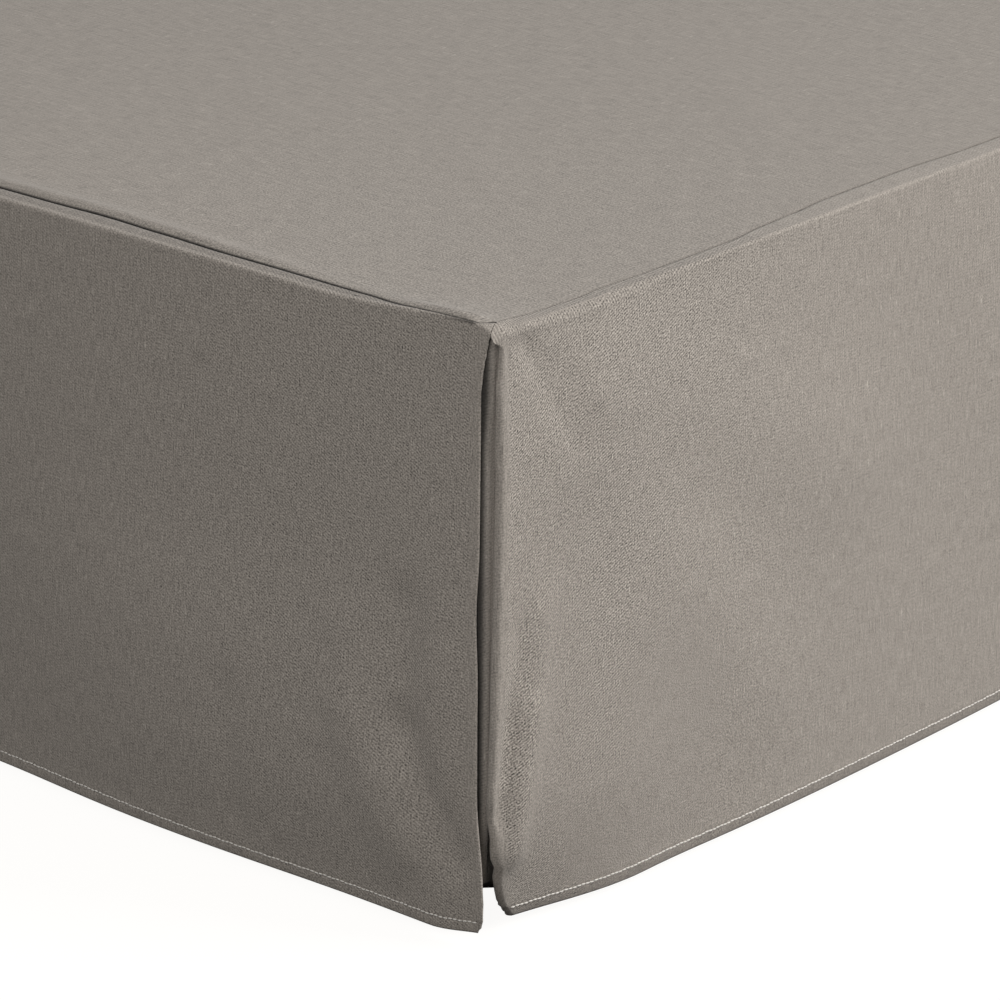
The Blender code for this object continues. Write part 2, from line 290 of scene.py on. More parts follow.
@dataclass(frozen=True)
class Corner:
    """A drop's end at a pleat.

    It has a setback for each height, and its hem curls in and lifts over a run.
    """

    setbacks: tuple[Level, ...]
    fold_radii: tuple[Level, ...]
    strip_start: float
    strip_lean: float
    dimple: float
    curl: float
    lift: float
    run: float
    curl_height: float = 0.100

    def back_at(self, height: float) -> float:
        """How far the fold edge is drawn back at a height."""
        return between(self.setbacks, height)

    def share_at(self, distance: float, height: float) -> float:
        """1 at the pleat's hem, falling to 0 along the drop and up it."""
        near_hem = max(0.0, 1.0 - height / self.curl_height) ** 2
        return (1.0 - smooth(distance / self.run)) * near_hem


FOOT_SWELLS = rows_of(
    Swell,
    (0.075, 0.085, 0.0035, 0.060, 0.065),
    (0.034, 0.150, 0.0026, 0.020, 0.046),
    (0.090, 0.000, -0.0032, 0.080, 0.050),
    (0.210, 0.125, 0.0060, 0.110, 0.056),
    (0.190, 0.060, 0.0040, 0.120, 0.045),
    (0.190, 0.000, -0.0011, 0.120, 0.038),
    (0.400, 0.000, -0.0095, 0.095, 0.160),
    (0.560, 0.020, 0.0040, 0.080, 0.180),
    (0.800, 0.000, -0.0040, 0.110, 0.170),
    (1.010, 0.010, 0.0035, 0.090, 0.150),
    (1.290, 0.060, -0.0030, 0.100, 0.130),
)
RIGHT_SWELLS = rows_of(
    Swell,
    (0.030, 0.110, -0.0018, 0.010, 0.060),
    (0.150, 0.020, -0.0020, 0.050, 0.120),
    (0.125, 0.150, 0.0060, 0.070, 0.066),
    (0.115, 0.070, 0.0045, 0.065, 0.050),
    (0.115, 0.000, -0.0010, 0.065, 0.038),
    (0.300, 0.090, 0.0020, 0.090, 0.120),
    (0.560, 0.000, -0.0045, 0.100, 0.170),
    (0.830, 0.020, 0.0040, 0.110, 0.160),
    (1.140, 0.000, -0.0040, 0.100, 0.180),
    (1.420, 0.040, 0.0035, 0.120, 0.150),
    (1.720, 0.000, -0.0035, 0.110, 0.160),
)
LEFT_SWELLS = rows_of(
    Swell,
    (0.110, 0.060, 0.0030, 0.070, 0.110),
    (0.340, 0.000, -0.0040, 0.090, 0.160),
    (0.620, 0.030, 0.0035, 0.110, 0.150),
    (0.930, 0.000, -0.0045, 0.100, 0.170),
    (1.260, 0.020, 0.0040, 0.120, 0.170),
    (1.600, 0.000, -0.0035, 0.100, 0.150),
)
FOOT_CREASES = rows_of(
    Crease,
    (0.062, 0.184, 0.063, 0.120, -0.0034, 0.016),
    (0.060, 0.112, 0.026, 0.052, -0.0040, 0.014),
    (0.104, 0.165, 0.098, 0.120, 0.0016, 0.016),
    (0.096, 0.112, 0.062, 0.047, 0.0026, 0.016),
    (0.187, 0.108, 0.184, 0.032, -0.0016, 0.010),
    (0.300, 0.240, 0.360, 0.110, 0.0008, 0.050),
    (0.640, 0.300, 0.700, 0.090, 0.0010, 0.040),
    (0.910, 0.280, 0.870, 0.060, -0.0010, 0.040),
    (1.180, 0.290, 1.230, 0.080, 0.0010, 0.045),
    (1.440, 0.210, 1.485, 0.050, -0.0020, 0.020),
)
RIGHT_CREASES = rows_of(
    Crease,
    (0.0072, 0.3410, 0.0082, 0.3300, 0.0008, 0.0019),
    (0.0084, 0.3270, 0.0104, 0.2950, 0.0006, 0.0022),
    (0.0125, 0.290, 0.0120, 0.150, 0.0004, 0.0032),
    (0.0265, 0.338, 0.069, 0.271, -0.0022, 0.0070),
    (0.050, 0.325, 0.083, 0.272, -0.0012, 0.0075),
    (0.0240, 0.185, 0.0095, 0.075, -0.0014, 0.0064),
    (0.0175, 0.135, 0.0100, 0.076, -0.0022, 0.0062),
    (0.0400, 0.190, 0.0225, 0.052, 0.0024, 0.0105),
    (0.0325, 0.132, 0.0225, 0.052, 0.0032, 0.0105),
    (0.098, 0.303, 0.300, 0.202, 0.0034, 0.042),
    (0.081, 0.272, 0.235, 0.083, 0.0028, 0.035),
    (0.420, 0.300, 0.520, 0.110, 0.0012, 0.045),
    (0.760, 0.290, 0.700, 0.070, -0.0012, 0.045),
    (1.020, 0.280, 1.080, 0.080, 0.0012, 0.050),
    (1.330, 0.290, 1.280, 0.070, -0.0012, 0.045),
    (1.640, 0.280, 1.700, 0.070, 0.0012, 0.050),
)
LEFT_CREASES = rows_of(
    Crease,
    (0.030, 0.330, 0.070, 0.280, -0.0010, 0.008),
    (0.045, 0.150, 0.030, 0.050, 0.0020, 0.011),
    (0.200, 0.300, 0.300, 0.120, 0.0013, 0.040),
    (0.500, 0.290, 0.450, 0.080, -0.0012, 0.045),
    (0.800, 0.280, 0.880, 0.080, 0.0012, 0.050),
    (1.120, 0.290, 1.060, 0.070, -0.0012, 0.045),
    (1.430, 0.280, 1.500, 0.080, 0.0012, 0.050),
    (1.780, 0.290, 1.740, 0.080, -0.0012, 0.045),
)
DECK_RIDGES = rows_of(
    Ridge,
    (0.030, 0.0018, 0.045, 0.0062, 0.0058),
    (0.230, 0.0022, 0.085, 0.0066, 0.0064),
    (0.330, 0.0016, 0.050, 0.0070, 0.0064),
    (0.420, 0.0017, 0.070, 0.0066, 0.0064),
    (0.620, 0.0016, 0.110, 0.0070, 0.0070),
    (1.050, 0.0017, 0.120, 0.0070, 0.0070),
    (1.380, 0.0014, 0.070, 0.0070, 0.0070),
)
DECK_WRINKLES = rows_of(
    Crease,
    (0.489, -0.741, 0.580, -0.801, 0.0006, 0.012),
    (0.430, -0.700, 0.520, -0.770, -0.0005, 0.014),
    (0.360, -0.760, 0.430, -0.790, 0.0005, 0.012),
    (0.560, -0.560, 0.660, -0.640, 0.0004, 0.016),
    (0.200, -0.820, 0.330, -0.880, 0.0006, 0.016),
    (0.640, -0.900, 0.700, -0.930, 0.0004, 0.012),
    (-0.100, -0.500, 0.050, -0.650, 0.0006, 0.020),
    (-0.450, -0.780, -0.350, -0.640, 0.0005, 0.018),
    (-0.300, 0.200, -0.100, 0.050, 0.0006, 0.022),
    (0.250, 0.450, 0.420, 0.330, 0.0005, 0.020),
    (0.100, 0.780, 0.300, 0.700, 0.0006, 0.022),
    (-0.600, 0.500, -0.480, 0.620, 0.0005, 0.020),
)
FOOT_SEAM = rows_of(
    Level,
    (0.0058, 0.0088), (0.0120, 0.0008), (0.0200, 0.0010), (0.0370, 0.0015), (0.0540, 0.0030),
    (0.0710, 0.0046), (0.0900, 0.0085), (0.1130, 0.0095), (0.1560, 0.0104), (0.2000, 0.0106),
    (0.2440, 0.0125), (0.2890, 0.0143), (0.3340, 0.0128), (0.4500, 0.0115), (0.6000, 0.0140),
    (0.7600, 0.0125),
)
SIDE_SEAM = rows_of(
    Level,
    (0.0090, 0.0058), (0.0125, 0.0075), (0.0200, 0.0094), (0.0280, 0.0100), (0.0450, 0.0099),
    (0.0600, 0.0105), (0.0800, 0.0098), (0.1000, 0.0111), (0.1360, 0.0099), (0.2080, 0.0101),
    (0.2400, 0.0135), (0.2700, 0.0150), (0.3000, 0.0176), (0.3700, 0.0180), (0.4300, 0.0150),
    (0.6500, 0.0120), (0.9500, 0.0140), (1.3000, 0.0122), (1.6500, 0.0138), (2.0000, 0.0130),
)
CORNER_RISE = rows_of(
    Level,
    (0.0120, 0.0054), (0.0200, 0.0052), (0.0370, 0.0045), (0.0540, 0.0031), (0.0710, 0.0017),
    (0.0870, 0.0006), (0.1130, 0.0000),
)
RISE_FADE = rows_of(
    Level,
    (0.0090, 1.00), (0.0125, 0.80), (0.0200, 0.57), (0.0280, 0.38), (0.0376, 0.22),
    (0.0470, 0.11), (0.0570, 0.05), (0.0750, 0.00),
)
FOOT_CORNER = Corner(
    setbacks=rows_of(
        Level,
        (0.0000, 0.0155), (0.0060, 0.0128), (0.0085, 0.0108), (0.0135, 0.0093), (0.0250, 0.0081),
        (0.0400, 0.0077), (0.0580, 0.0081), (0.0890, 0.0089), (0.1500, 0.0093), (0.1950, 0.0112),
        (0.2300, 0.0097), (0.3150, 0.0094), (0.3240, 0.0083), (0.3310, 0.0071), (0.3360, 0.0057),
        (0.3430, 0.0040), (0.3485, 0.0026),
    ),
    fold_radii=rows_of(Level, (0.3300, 0.0010), (0.3450, 0.0006)),
    strip_start=0.0024,
    strip_lean=0.41,
    dimple=0.0,
    curl=0.006,
    lift=0.0045,
    run=0.045,
)
SIDE_CORNER = Corner(
    setbacks=rows_of(
        Level,
        (0.0000, 0.0390), (0.0060, 0.0356), (0.0100, 0.0318), (0.0150, 0.0276), (0.0200, 0.0243),
        (0.0300, 0.0190), (0.0400, 0.0150), (0.0550, 0.0082), (0.0700, 0.0070), (0.0900, 0.0032),
        (0.1400, 0.0041), (0.2050, 0.0060), (0.2700, 0.0071), (0.3000, 0.0062), (0.3210, 0.0050),
        (0.3285, 0.0058), (0.3354, 0.0060), (0.3384, 0.0061), (0.3405, 0.0058), (0.3430, 0.0044),
        (0.3450, 0.0026), (0.3475, 0.0006),
    ),
    fold_radii=rows_of(
        Level,
        (0.2800, 0.0031), (0.3210, 0.0019), (0.3384, 0.0016), (0.3440, 0.0011), (0.3475, 0.0006),
    ),
    strip_start=-0.0071,
    strip_lean=2.72,
    dimple=0.0028,
    curl=0.020,
    lift=0.0030,
    run=0.135,
)


@dataclass(frozen=True)
class TopEdge:
    """How the cloth lies over the top edges: where its seams run and how its corners rise."""

    foot_seam: tuple[Level, ...] = FOOT_SEAM
    side_seam: tuple[Level, ...] = SIDE_SEAM
    rise: tuple[Level, ...] = CORNER_RISE
    fade: tuple[Level, ...] = RISE_FADE
    raised: Ramp = Ramp(0.300, 0.046)
    dip: float = 0.0034
    dip_reach: float = 0.006
    dimple_reach: float = 0.0062
    sink: float = 0.0009
    sink_along: Ramp = Ramp(0.070, 0.040)
    sink_inset: Ramp = Ramp(0.0, 0.009)

    def rise_at(self, from_side: float, from_foot: float) -> float:
        """How far the cloth is raised at a point, measured from a side face and the foot face."""
        raised = between(self.rise, from_side) * between(self.fade, from_foot)
        return raised - self.dip * bell(math.hypot(from_side, from_foot), self.dip_reach)


# ---------------------------------------------------------------------------
# Node trees
# ---------------------------------------------------------------------------


class Grain(NamedTuple):
    """A noise: its scale per metre, its detail and its roughness."""

    scale: float
    detail: float = 1.0
    rough: float = 0.5


class NodeTree:
    """Adds nodes to a tree and links them, with numbers or sockets as inputs."""

    def __init__(self, tree: bpy.types.NodeTree) -> None:
        """Keeps the tree that nodes go into."""
        self.tree = tree

    def add(self, kind: str, **settings: object) -> bpy.types.Node:
        """Adds one node.

        Args:
            kind: The node's type name.
            settings: Values for the node's own properties.

        Returns:
            The node.
        """
        node = self.tree.nodes.new(kind)
        for name, value in settings.items():
            setattr(node, name, value)
        return node

    def feed(self, target: bpy.types.NodeSocket, value: object) -> None:
        """Links a socket to another, or gives it a constant.

        Args:
            target: The input that is fed.
            value: A socket, or a plain value.
        """
        if isinstance(value, bpy.types.NodeSocket):
            self.tree.links.new(value, target)
        else:
            target.default_value = value

    def math(self, operation: str, first: Number, second: Number = 0.0) -> bpy.types.NodeSocket:
        """A Math node's result.

        Args:
            operation: What the node does.
            first: Its first number.
            second: Its second number, where it takes one.

        Returns:
            The result.
        """
        node = self.add("ShaderNodeMath", operation=operation)
        self.feed(node.inputs[0], first)
        self.feed(node.inputs[1], second)
        return node.outputs[0]

    def plus(self, first: Number, second: Number) -> bpy.types.NodeSocket:
        """The sum of two numbers."""
        return self.math("ADD", first, second)

    def minus(self, first: Number, second: Number) -> bpy.types.NodeSocket:
        """The difference of two numbers."""
        return self.math("SUBTRACT", first, second)

    def times(self, first: Number, second: Number) -> bpy.types.NodeSocket:
        """The product of two numbers."""
        return self.math("MULTIPLY", first, second)

    def sine(self, angle: Number) -> bpy.types.NodeSocket:
        """The sine of an angle."""
        return self.math("SINE", angle)

    def apart(self, where: bpy.types.NodeSocket) -> bpy.types.NodeOutputs:
        """A vector's X, Y and Z.

        Args:
            where: The vector.

        Returns:
            The three numbers, by name.
        """
        node = self.add("ShaderNodeSeparateXYZ")
        self.feed(node.inputs[0], where)
        return node.outputs

    def object_place(self) -> bpy.types.NodeSocket:
        """The place on the object, in metres."""
        return self.add("ShaderNodeTexCoord").outputs["Object"]

    def mark(self, name: str) -> bpy.types.NodeSocket:
        """A mark of the mesh, by its name."""
        return self.add("ShaderNodeAttribute", attribute_name=name).outputs["Fac"]

    def grouped(self, group: bpy.types.NodeTree, **inputs: object) -> bpy.types.NodeOutputs:
        """A node group's outputs, with its inputs by their names, an underscore for a space.

        Args:
            group: The node group.
            inputs: A number or a socket for each input.

        Returns:
            The outputs, by name.
        """
        node = self.add("ShaderNodeGroup", node_tree=group)
        for name, value in inputs.items():
            self.feed(node.inputs[name.replace("_", " ")], value)
        return node.outputs

    def tint(self, shader: bpy.types.Node, colour: tuple[float, ...], strength: Number) -> None:
        """Gives a shader a base colour, times a strength.

        Args:
            shader: The Principled shader.
            colour: The colour at a strength of 1.
            strength: How bright the colour is.
        """
        node = self.add("ShaderNodeVectorMath", operation="SCALE")
        self.feed(node.inputs[0], colour)
        self.feed(node.inputs["Scale"], strength)
        self.feed(shader.inputs["Base Color"], node.outputs[0])

    def bump(self, shader: bpy.types.Node, height: Number, strength: float, distance: float) -> None:
        """Gives a shader a bump from a height.

        Args:
            shader: The Principled shader.
            height: How high the surface is.
            strength: The bump's share.
            distance: How far out a height of 1 stands, in metres.
        """
        node = self.add("ShaderNodeBump")
        node.inputs["Strength"].default_value = strength
        node.inputs["Distance"].default_value = distance
        self.feed(node.inputs["Height"], height)
        self.feed(shader.inputs["Normal"], node.outputs[0])

    def spread(
        self, value: Number, low: float, high: float, to_low: float, to_high: float
    ) -> bpy.types.NodeSocket:
        """A smooth map of a value from one range to another.

        Args:
            value: What is mapped.
            low: Where the first range starts.
            high: Where it ends.
            to_low: What its start becomes.
            to_high: What its end becomes.

        Returns:
            The mapped value.
        """
        node = self.add("ShaderNodeMapRange", interpolation_type="SMOOTHSTEP")
        for place, number in enumerate((value, low, high, to_low, to_high)):
            self.feed(node.inputs[place], number)
        return node.outputs["Result"]

    def point(self, x: Number, y: Number, z: Number = 0.0) -> bpy.types.NodeSocket:
        """A vector from three numbers.

        Args:
            x: The vector's X.
            y: Its Y.
            z: Its Z.

        Returns:
            The vector.
        """
        node = self.add("ShaderNodeCombineXYZ")
        for place, number in enumerate((x, y, z)):
            self.feed(node.inputs[place], number)
        return node.outputs[0]

    def noise(self, where: bpy.types.NodeSocket, grain: Grain) -> bpy.types.NodeSocket:
        """A Noise Texture's value, about 0.5 on average.

        Args:
            where: The place at which it is read.
            grain: The noise's settings.

        Returns:
            The value.
        """
        node = self.add("ShaderNodeTexNoise")
        self.feed(node.inputs["Vector"], where)
        node.inputs["Scale"].default_value = grain.scale
        node.inputs["Detail"].default_value = grain.detail
        node.inputs["Roughness"].default_value = grain.rough
        return node.outputs[0]

    def ripple(self, where: bpy.types.NodeSocket, grain: Grain) -> bpy.types.NodeSocket:
        """A Noise Texture's value, about 0 on average."""
        return self.minus(self.noise(where, grain), 0.5)

    def mix_colour(self, share: Number, first: object, second: object) -> bpy.types.NodeSocket:
        """A Mix node's colour.

        Args:
            share: 0 for the first colour, 1 for the second.
            first: The first colour.
            second: The second colour.

        Returns:
            The mixed colour.
        """
        node = self.add("ShaderNodeMix", data_type="RGBA")
        self.feed(node.inputs["Factor"], share)
        self.feed(node.inputs["A"], first)
        self.feed(node.inputs["B"], second)
        return node.outputs["Result"]


def new_group(
    name: str, place: str, shares: tuple[str, ...], results: tuple[str, ...]
) -> tuple[bpy.types.NodeTree, NodeTree, bpy.types.Node, bpy.types.Node]:
    """Starts a shader node group that works from a place.

    Args:
        name: The group's name.
        place: The name of its vector input.
        shares: The names of its number inputs.
        results: The names of its outputs, all numbers.

    Returns:
        The group, a builder for it, and its input and output nodes.
    """
    group = bpy.data.node_groups.new(name, "ShaderNodeTree")
    sockets = [(place, "INPUT", "NodeSocketVector")]
    sockets += [(label, "INPUT", "NodeSocketFloat") for label in shares]
    sockets += [(label, "OUTPUT", "NodeSocketFloat") for label in results]
    for label, side, kind in sockets:
        group.interface.new_socket(name=label, in_out=side, socket_type=kind)
    build = NodeTree(group)
    return group, build, build.add("NodeGroupInput"), build.add("NodeGroupOutput")


RIB_DRIFT, RIB_DRIFT_TURNS = Grain(160.0), 0.35
RIB_GAIN = 0.5
WARP, WARP_STRETCH, WARP_GAIN = Grain(75.0, 2.0, 0.7), 16.0, 2.2
WEFT, WEFT_STRETCH, WEFT_GAIN = Grain(55.0, 2.0, 0.7), 14.0, 2.2
FINE_GRAIN, FINE_GAIN = Grain(950.0, 1.0, 0.6), 2.6
SLUB_CELLS, SLUB_SIZE = (150.0, 42.0), 0.075
SPECK_CELLS, SPECK_SIZE = (150.0, 120.0), 0.060
SMALLEST_SPOT = 0.4
SPOT_EDGE = (0.5, 1.2)
BROAD_TONE, MOTTLE_TONE = Grain(7.0, 2.0), Grain(140.0, 2.0)


def twill_group() -> bpy.types.NodeTree:
    """The weave: slanting ribs, uneven warp and weft yarns and a fine grain.

    Returns:
        A group from cloth coordinates in metres to the weave's height, about 0.5.
    """
    group, build, start, end = new_group(
        "Twill weave",
        "Cloth",
        ("Ribs Along", "Ribs Up", "Rib Share", "Warp Share", "Weft Share", "Grain Share"),
        ("Height",),
    )
    cloth = start.outputs["Cloth"]
    apart = build.apart(cloth)
    along, up = apart["X"], apart["Y"]
    drift = build.times(build.ripple(cloth, RIB_DRIFT), RIB_DRIFT_TURNS)
    phase = build.times(along, start.outputs["Ribs Along"])
    phase = build.minus(phase, build.times(up, start.outputs["Ribs Up"]))
    phase = build.plus(phase, drift)
    ribs = build.sine(build.times(phase, math.tau))
    warp = build.ripple(build.point(build.times(along, WARP_STRETCH), up), WARP)
    weft = build.ripple(build.point(along, build.times(up, WEFT_STRETCH)), WEFT)
    total: Number = 0.5
    for value, gain, share in (
        (ribs, RIB_GAIN, "Rib Share"),
        (warp, WARP_GAIN, "Warp Share"),
        (weft, WEFT_GAIN, "Weft Share"),
        (build.ripple(cloth, FINE_GRAIN), FINE_GAIN, "Grain Share"),
    ):
        part = build.times(build.times(value, gain), start.outputs[share])
        total = build.plus(total, part)
    build.feed(end.inputs["Height"], total)
    return group


def slub_group() -> bpy.types.NodeTree:
    """Scattered thick places in the yarn and small dark specks.

    Returns:
        A group from cloth coordinates in metres to two masks.
    """
    group, build, start, end = new_group(
        "Slubs and specks", "Cloth", ("Slub Amount", "Speck Amount"), ("Slub", "Speck")
    )
    apart = build.apart(start.outputs["Cloth"])
    along, up = apart["X"], apart["Y"]

    def spots(
        scale: tuple[float, float], size: float, amount: bpy.types.NodeSocket
    ) -> bpy.types.NodeSocket:
        """Spots in some cells of a stretched pattern.

        Args:
            scale: How many cells there are to a metre, along and up.
            size: About how wide a spot is, in cells.
            amount: The share of the cells that have a spot.

        Returns:
            A mask, 1 in a spot.
        """
        cells = build.add("ShaderNodeTexVoronoi", voronoi_dimensions="2D")
        where = build.point(build.times(along, scale[0]), build.times(up, scale[1]))
        build.feed(cells.inputs["Vector"], where)
        cells.inputs["Scale"].default_value = 1.0
        chance = build.add("ShaderNodeSeparateColor")
        build.feed(chance.inputs[0], cells.outputs["Color"])
        chosen = build.math("LESS_THAN", chance.outputs[0], amount)
        width = build.times(build.plus(chance.outputs[1], SMALLEST_SPOT), size)
        ratio = build.math("DIVIDE", cells.outputs["Distance"], width)
        return build.times(chosen, build.spread(ratio, *SPOT_EDGE, 1.0, 0.0))

    slub = spots(SLUB_CELLS, SLUB_SIZE, start.outputs["Slub Amount"])
    speck = spots(SPECK_CELLS, SPECK_SIZE, start.outputs["Speck Amount"])
    build.feed(end.inputs["Slub"], slub)
    build.feed(end.inputs["Speck"], speck)
    return group


def tone_group() -> bpy.types.NodeTree:
    """Slow and middling changes of tone over a surface.

    Returns:
        A group from coordinates in metres to a tone of about 1.
    """
    group, build, start, end = new_group("Tone drift", "Place", ("Broad", "Mottle"), ("Tone",))
    place = start.outputs["Place"]
    tone: Number = 1.0
    for grain, label in ((BROAD_TONE, "Broad"), (MOTTLE_TONE, "Mottle")):
        tone = build.plus(tone, build.times(build.ripple(place, grain), start.outputs[label]))
    build.feed(end.inputs["Tone"], tone)
    return group


def groups() -> dict[str, bpy.types.NodeTree]:
    """Builds the shared node groups once each."""
    return {"twill": twill_group(), "slub": slub_group(), "tone": tone_group()}


# ---------------------------------------------------------------------------
# Finishes
# ---------------------------------------------------------------------------


def new_material(name: str) -> tuple[bpy.types.Material, NodeTree, bpy.types.Node]:
    """Starts a material.

    Args:
        name: The material's name.

    Returns:
        The material, a builder for its nodes, and its Principled shader.
    """
    material = bpy.data.materials.new(name)
    material.use_nodes = True
    shader = material.node_tree.nodes["Principled BSDF"]
    return material, NodeTree(material.node_tree), shader


@dataclass(frozen=True)
class TwillFinish:
    """The skirt's taupe twill, with its slubs, specks and puckered seams, and painted shade where its
    mesh is marked.
    """

    name: str
    colour: tuple[float, float, float]
    ribs_along: float = 270.0
    ribs_up: float = 540.0
    contrast: float = 0.75
    ribs: float = 0.80
    warp: float = 0.60
    weft: float = 0.22
    grain: float = 1.50
    far_ribs: float = 0.20
    far_grain: float = 0.42
    slubs: float = 0.29
    specks: float = 0.18
    broad: float = 0.03
    mottle: float = 0.03
    slub_gain: float = 0.30
    speck_gain: float = 0.38
    ribs_gone: float = 0.60
    bump: float = 0.35
    bump_distance: float = 0.0003
    pucker_pitch: float = 0.0021
    pucker_gain: float = 0.48
    pucker_height: float = 1.2
    pucker_drift: Grain = Grain(90.0)
    pucker_drift_turn: float = 3.0
    # The share of the colour left where the painted shade is full.
    painted_shade_dark: float = 0.07
    low_roughness: float = 0.97
    roughness: float = 0.88
    specular: float = 0.25
    sheen: float = 0.08
    sheen_roughness: float = 0.5

    def make(self, shared: dict[str, bpy.types.NodeTree]) -> bpy.types.Material:
        """Builds the material.

        Args:
            shared: The shared node groups.

        Returns:
            The material.
        """
        material, build, shader = new_material(self.name)
        cloth = build.add("ShaderNodeUVMap", uv_map=UV_NAME).outputs[0]
        away = build.mark(FADE_NAME)
        weave = build.grouped(
            shared["twill"],
            Cloth=cloth,
            Ribs_Along=self.ribs_along,
            Ribs_Up=self.ribs_up,
            Rib_Share=build.spread(away, 0.0, self.ribs_gone, self.ribs, self.ribs * self.far_ribs),
            Warp_Share=self.warp,
            Weft_Share=self.weft,
            Grain_Share=build.spread(away, 0.0, 1.0, self.grain, self.grain * self.far_grain),
        )["Height"]
        spots = build.grouped(
            shared["slub"], Cloth=cloth, Slub_Amount=self.slubs, Speck_Amount=self.specks
        )
        drift = build.grouped(shared["tone"], Place=cloth, Broad=self.broad, Mottle=self.mottle)
        pucker = self.puckers(build, cloth)

        lit = build.times(build.minus(weave, 0.5), self.contrast)
        lit = build.plus(lit, build.times(spots["Slub"], self.slub_gain))
        lit = build.minus(lit, build.times(spots["Speck"], self.speck_gain))
        lit = build.plus(lit, build.times(pucker, self.pucker_gain))
        lit = build.plus(lit, drift["Tone"])
        # Painted shade: the colour darkens where the mesh's shade mark is set.
        lit = build.times(lit, build.spread(build.mark(PAINTED_SHADE_NAME), 0.0, 1.0, 1.0, self.painted_shade_dark))
        build.tint(shader, self.colour, lit)

        rough = build.spread(weave, 0.0, 1.0, self.low_roughness, self.roughness)
        build.feed(shader.inputs["Roughness"], rough)
        shader.inputs["Specular IOR Level"].default_value = self.specular
        shader.inputs["Sheen Weight"].default_value = self.sheen
        shader.inputs["Sheen Roughness"].default_value = self.sheen_roughness

        height = build.plus(weave, build.times(pucker, self.pucker_height))
        height = build.plus(height, spots["Slub"])
        build.bump(shader, height, self.bump, self.bump_distance)
        return material

    def puckers(self, build: NodeTree, cloth: bpy.types.NodeSocket) -> bpy.types.NodeSocket:
        """Fine upright ribs where a seam draws the cloth up, from -1 to 1.

        Args:
            build: The material's builder.
            cloth: The cloth's coordinates, in metres.

        Returns:
            The ribs, at their strongest where the seam's mark is 1.
        """
        drift = build.times(build.noise(cloth, self.pucker_drift), self.pucker_drift_turn)
        turn = build.times(build.apart(cloth)["X"], math.tau / self.pucker_pitch)
        return build.times(build.sine(build.plus(turn, drift)), build.mark(PUCKER_NAME))


@dataclass(frozen=True)
class ThreadFinish:
    """The pale sewing thread of the hems."""

    name: str = "Hem thread"
    colour: tuple[float, float, float] = (0.70, 0.66, 0.61)
    dark_share: float = 0.86
    turns: float = 1400.0
    roughness: float = 0.6
    bump: tuple[float, float] = (0.4, 0.0001)

    def make(self) -> bpy.types.Material:
        """Builds the material.

        Returns:
            The material.
        """
        material, build, shader = new_material(self.name)
        apart = build.apart(build.object_place())
        lean = build.plus(apart["X"], build.plus(apart["Y"], apart["Z"]))
        ply = build.sine(build.times(lean, self.turns * math.tau))
        share = build.spread(ply, -1.0, 1.0, 0.0, 1.0)
        dark = tuple(self.dark_share * part for part in self.colour)
        colour = build.mix_colour(share, (*dark, 1.0), (*self.colour, 1.0))
        build.feed(shader.inputs["Base Color"], colour)
        shader.inputs["Roughness"].default_value = self.roughness
        build.bump(shader, ply, *self.bump)
        return material


@dataclass(frozen=True)
class CoverFinish:
    """The plain pale cloth that covers the base."""

    name: str = "Base cover"
    colour: tuple[float, float, float] = (0.66, 0.64, 0.60)
    threads: float = 420.0
    weave_share: float = 0.06
    broad: float = 0.10
    mottle: float = 0.08
    roughness: float = 0.9
    bump: tuple[float, float] = (0.3, 0.0004)

    def make(self, shared: dict[str, bpy.types.NodeTree]) -> bpy.types.Material:
        """Builds the material.

        Args:
            shared: The shared node groups.

        Returns:
            The material.
        """
        material, build, shader = new_material(self.name)
        place = build.object_place()
        apart = build.apart(place)
        level = build.plus(apart["X"], apart["Y"])
        across = build.sine(build.times(level, self.threads * math.tau))
        upright = build.sine(build.times(apart["Z"], self.threads * math.tau))
        weave = build.times(across, upright)
        drift = build.grouped(shared["tone"], Place=place, Broad=self.broad, Mottle=self.mottle)
        lit = build.plus(drift["Tone"], build.times(weave, self.weave_share))
        build.tint(shader, self.colour, lit)
        shader.inputs["Roughness"].default_value = self.roughness
        build.bump(shader, weave, *self.bump)
        return material


@dataclass(frozen=True)
class WoodFinish:
    """Dark stained wood with an upright grain."""

    name: str = "Leg wood"
    dark: tuple[float, float, float] = (0.055, 0.030, 0.017)
    light: tuple[float, float, float] = (0.17, 0.100, 0.058)
    squash: float = 0.08
    grain: Grain = Grain(260.0, 4.0, 0.65)
    turn: tuple[float, float] = (0.35, 0.68)
    gloss: tuple[float, float, float, float] = (0.3, 0.7, 0.5, 0.36)
    bump: tuple[float, float] = (0.15, 0.0005)

    def make(self) -> bpy.types.Material:
        """Builds the material.

        Returns:
            The material.
        """
        material, build, shader = new_material(self.name)
        apart = build.apart(build.object_place())
        upright = build.point(apart["X"], apart["Y"], build.times(apart["Z"], self.squash))
        grain = build.noise(upright, self.grain)
        share = build.spread(grain, *self.turn, 0.0, 1.0)
        colour = build.mix_colour(share, (*self.dark, 1.0), (*self.light, 1.0))
        build.feed(shader.inputs["Base Color"], colour)
        build.feed(shader.inputs["Roughness"], build.spread(grain, *self.gloss))
        build.bump(shader, grain, *self.bump)
        return material


# ---------------------------------------------------------------------------
# Sheets of cloth
# ---------------------------------------------------------------------------


def link_piece(form: bmesh.types.BMesh, name: str, finish: bpy.types.Material) -> bpy.types.Object:
    """Turns a form into an object at the origin, and frees the form.

    Args:
        form: The form.
        name: The object's name.
        finish: Its material.

    Returns:
        The object, in the scene.
    """
    mesh = bpy.data.meshes.new(name)
    form.to_mesh(mesh)
    form.free()
    mesh.materials.append(finish)
    piece = bpy.data.objects.new(name, mesh)
    bpy.context.scene.collection.objects.link(piece)
    return piece


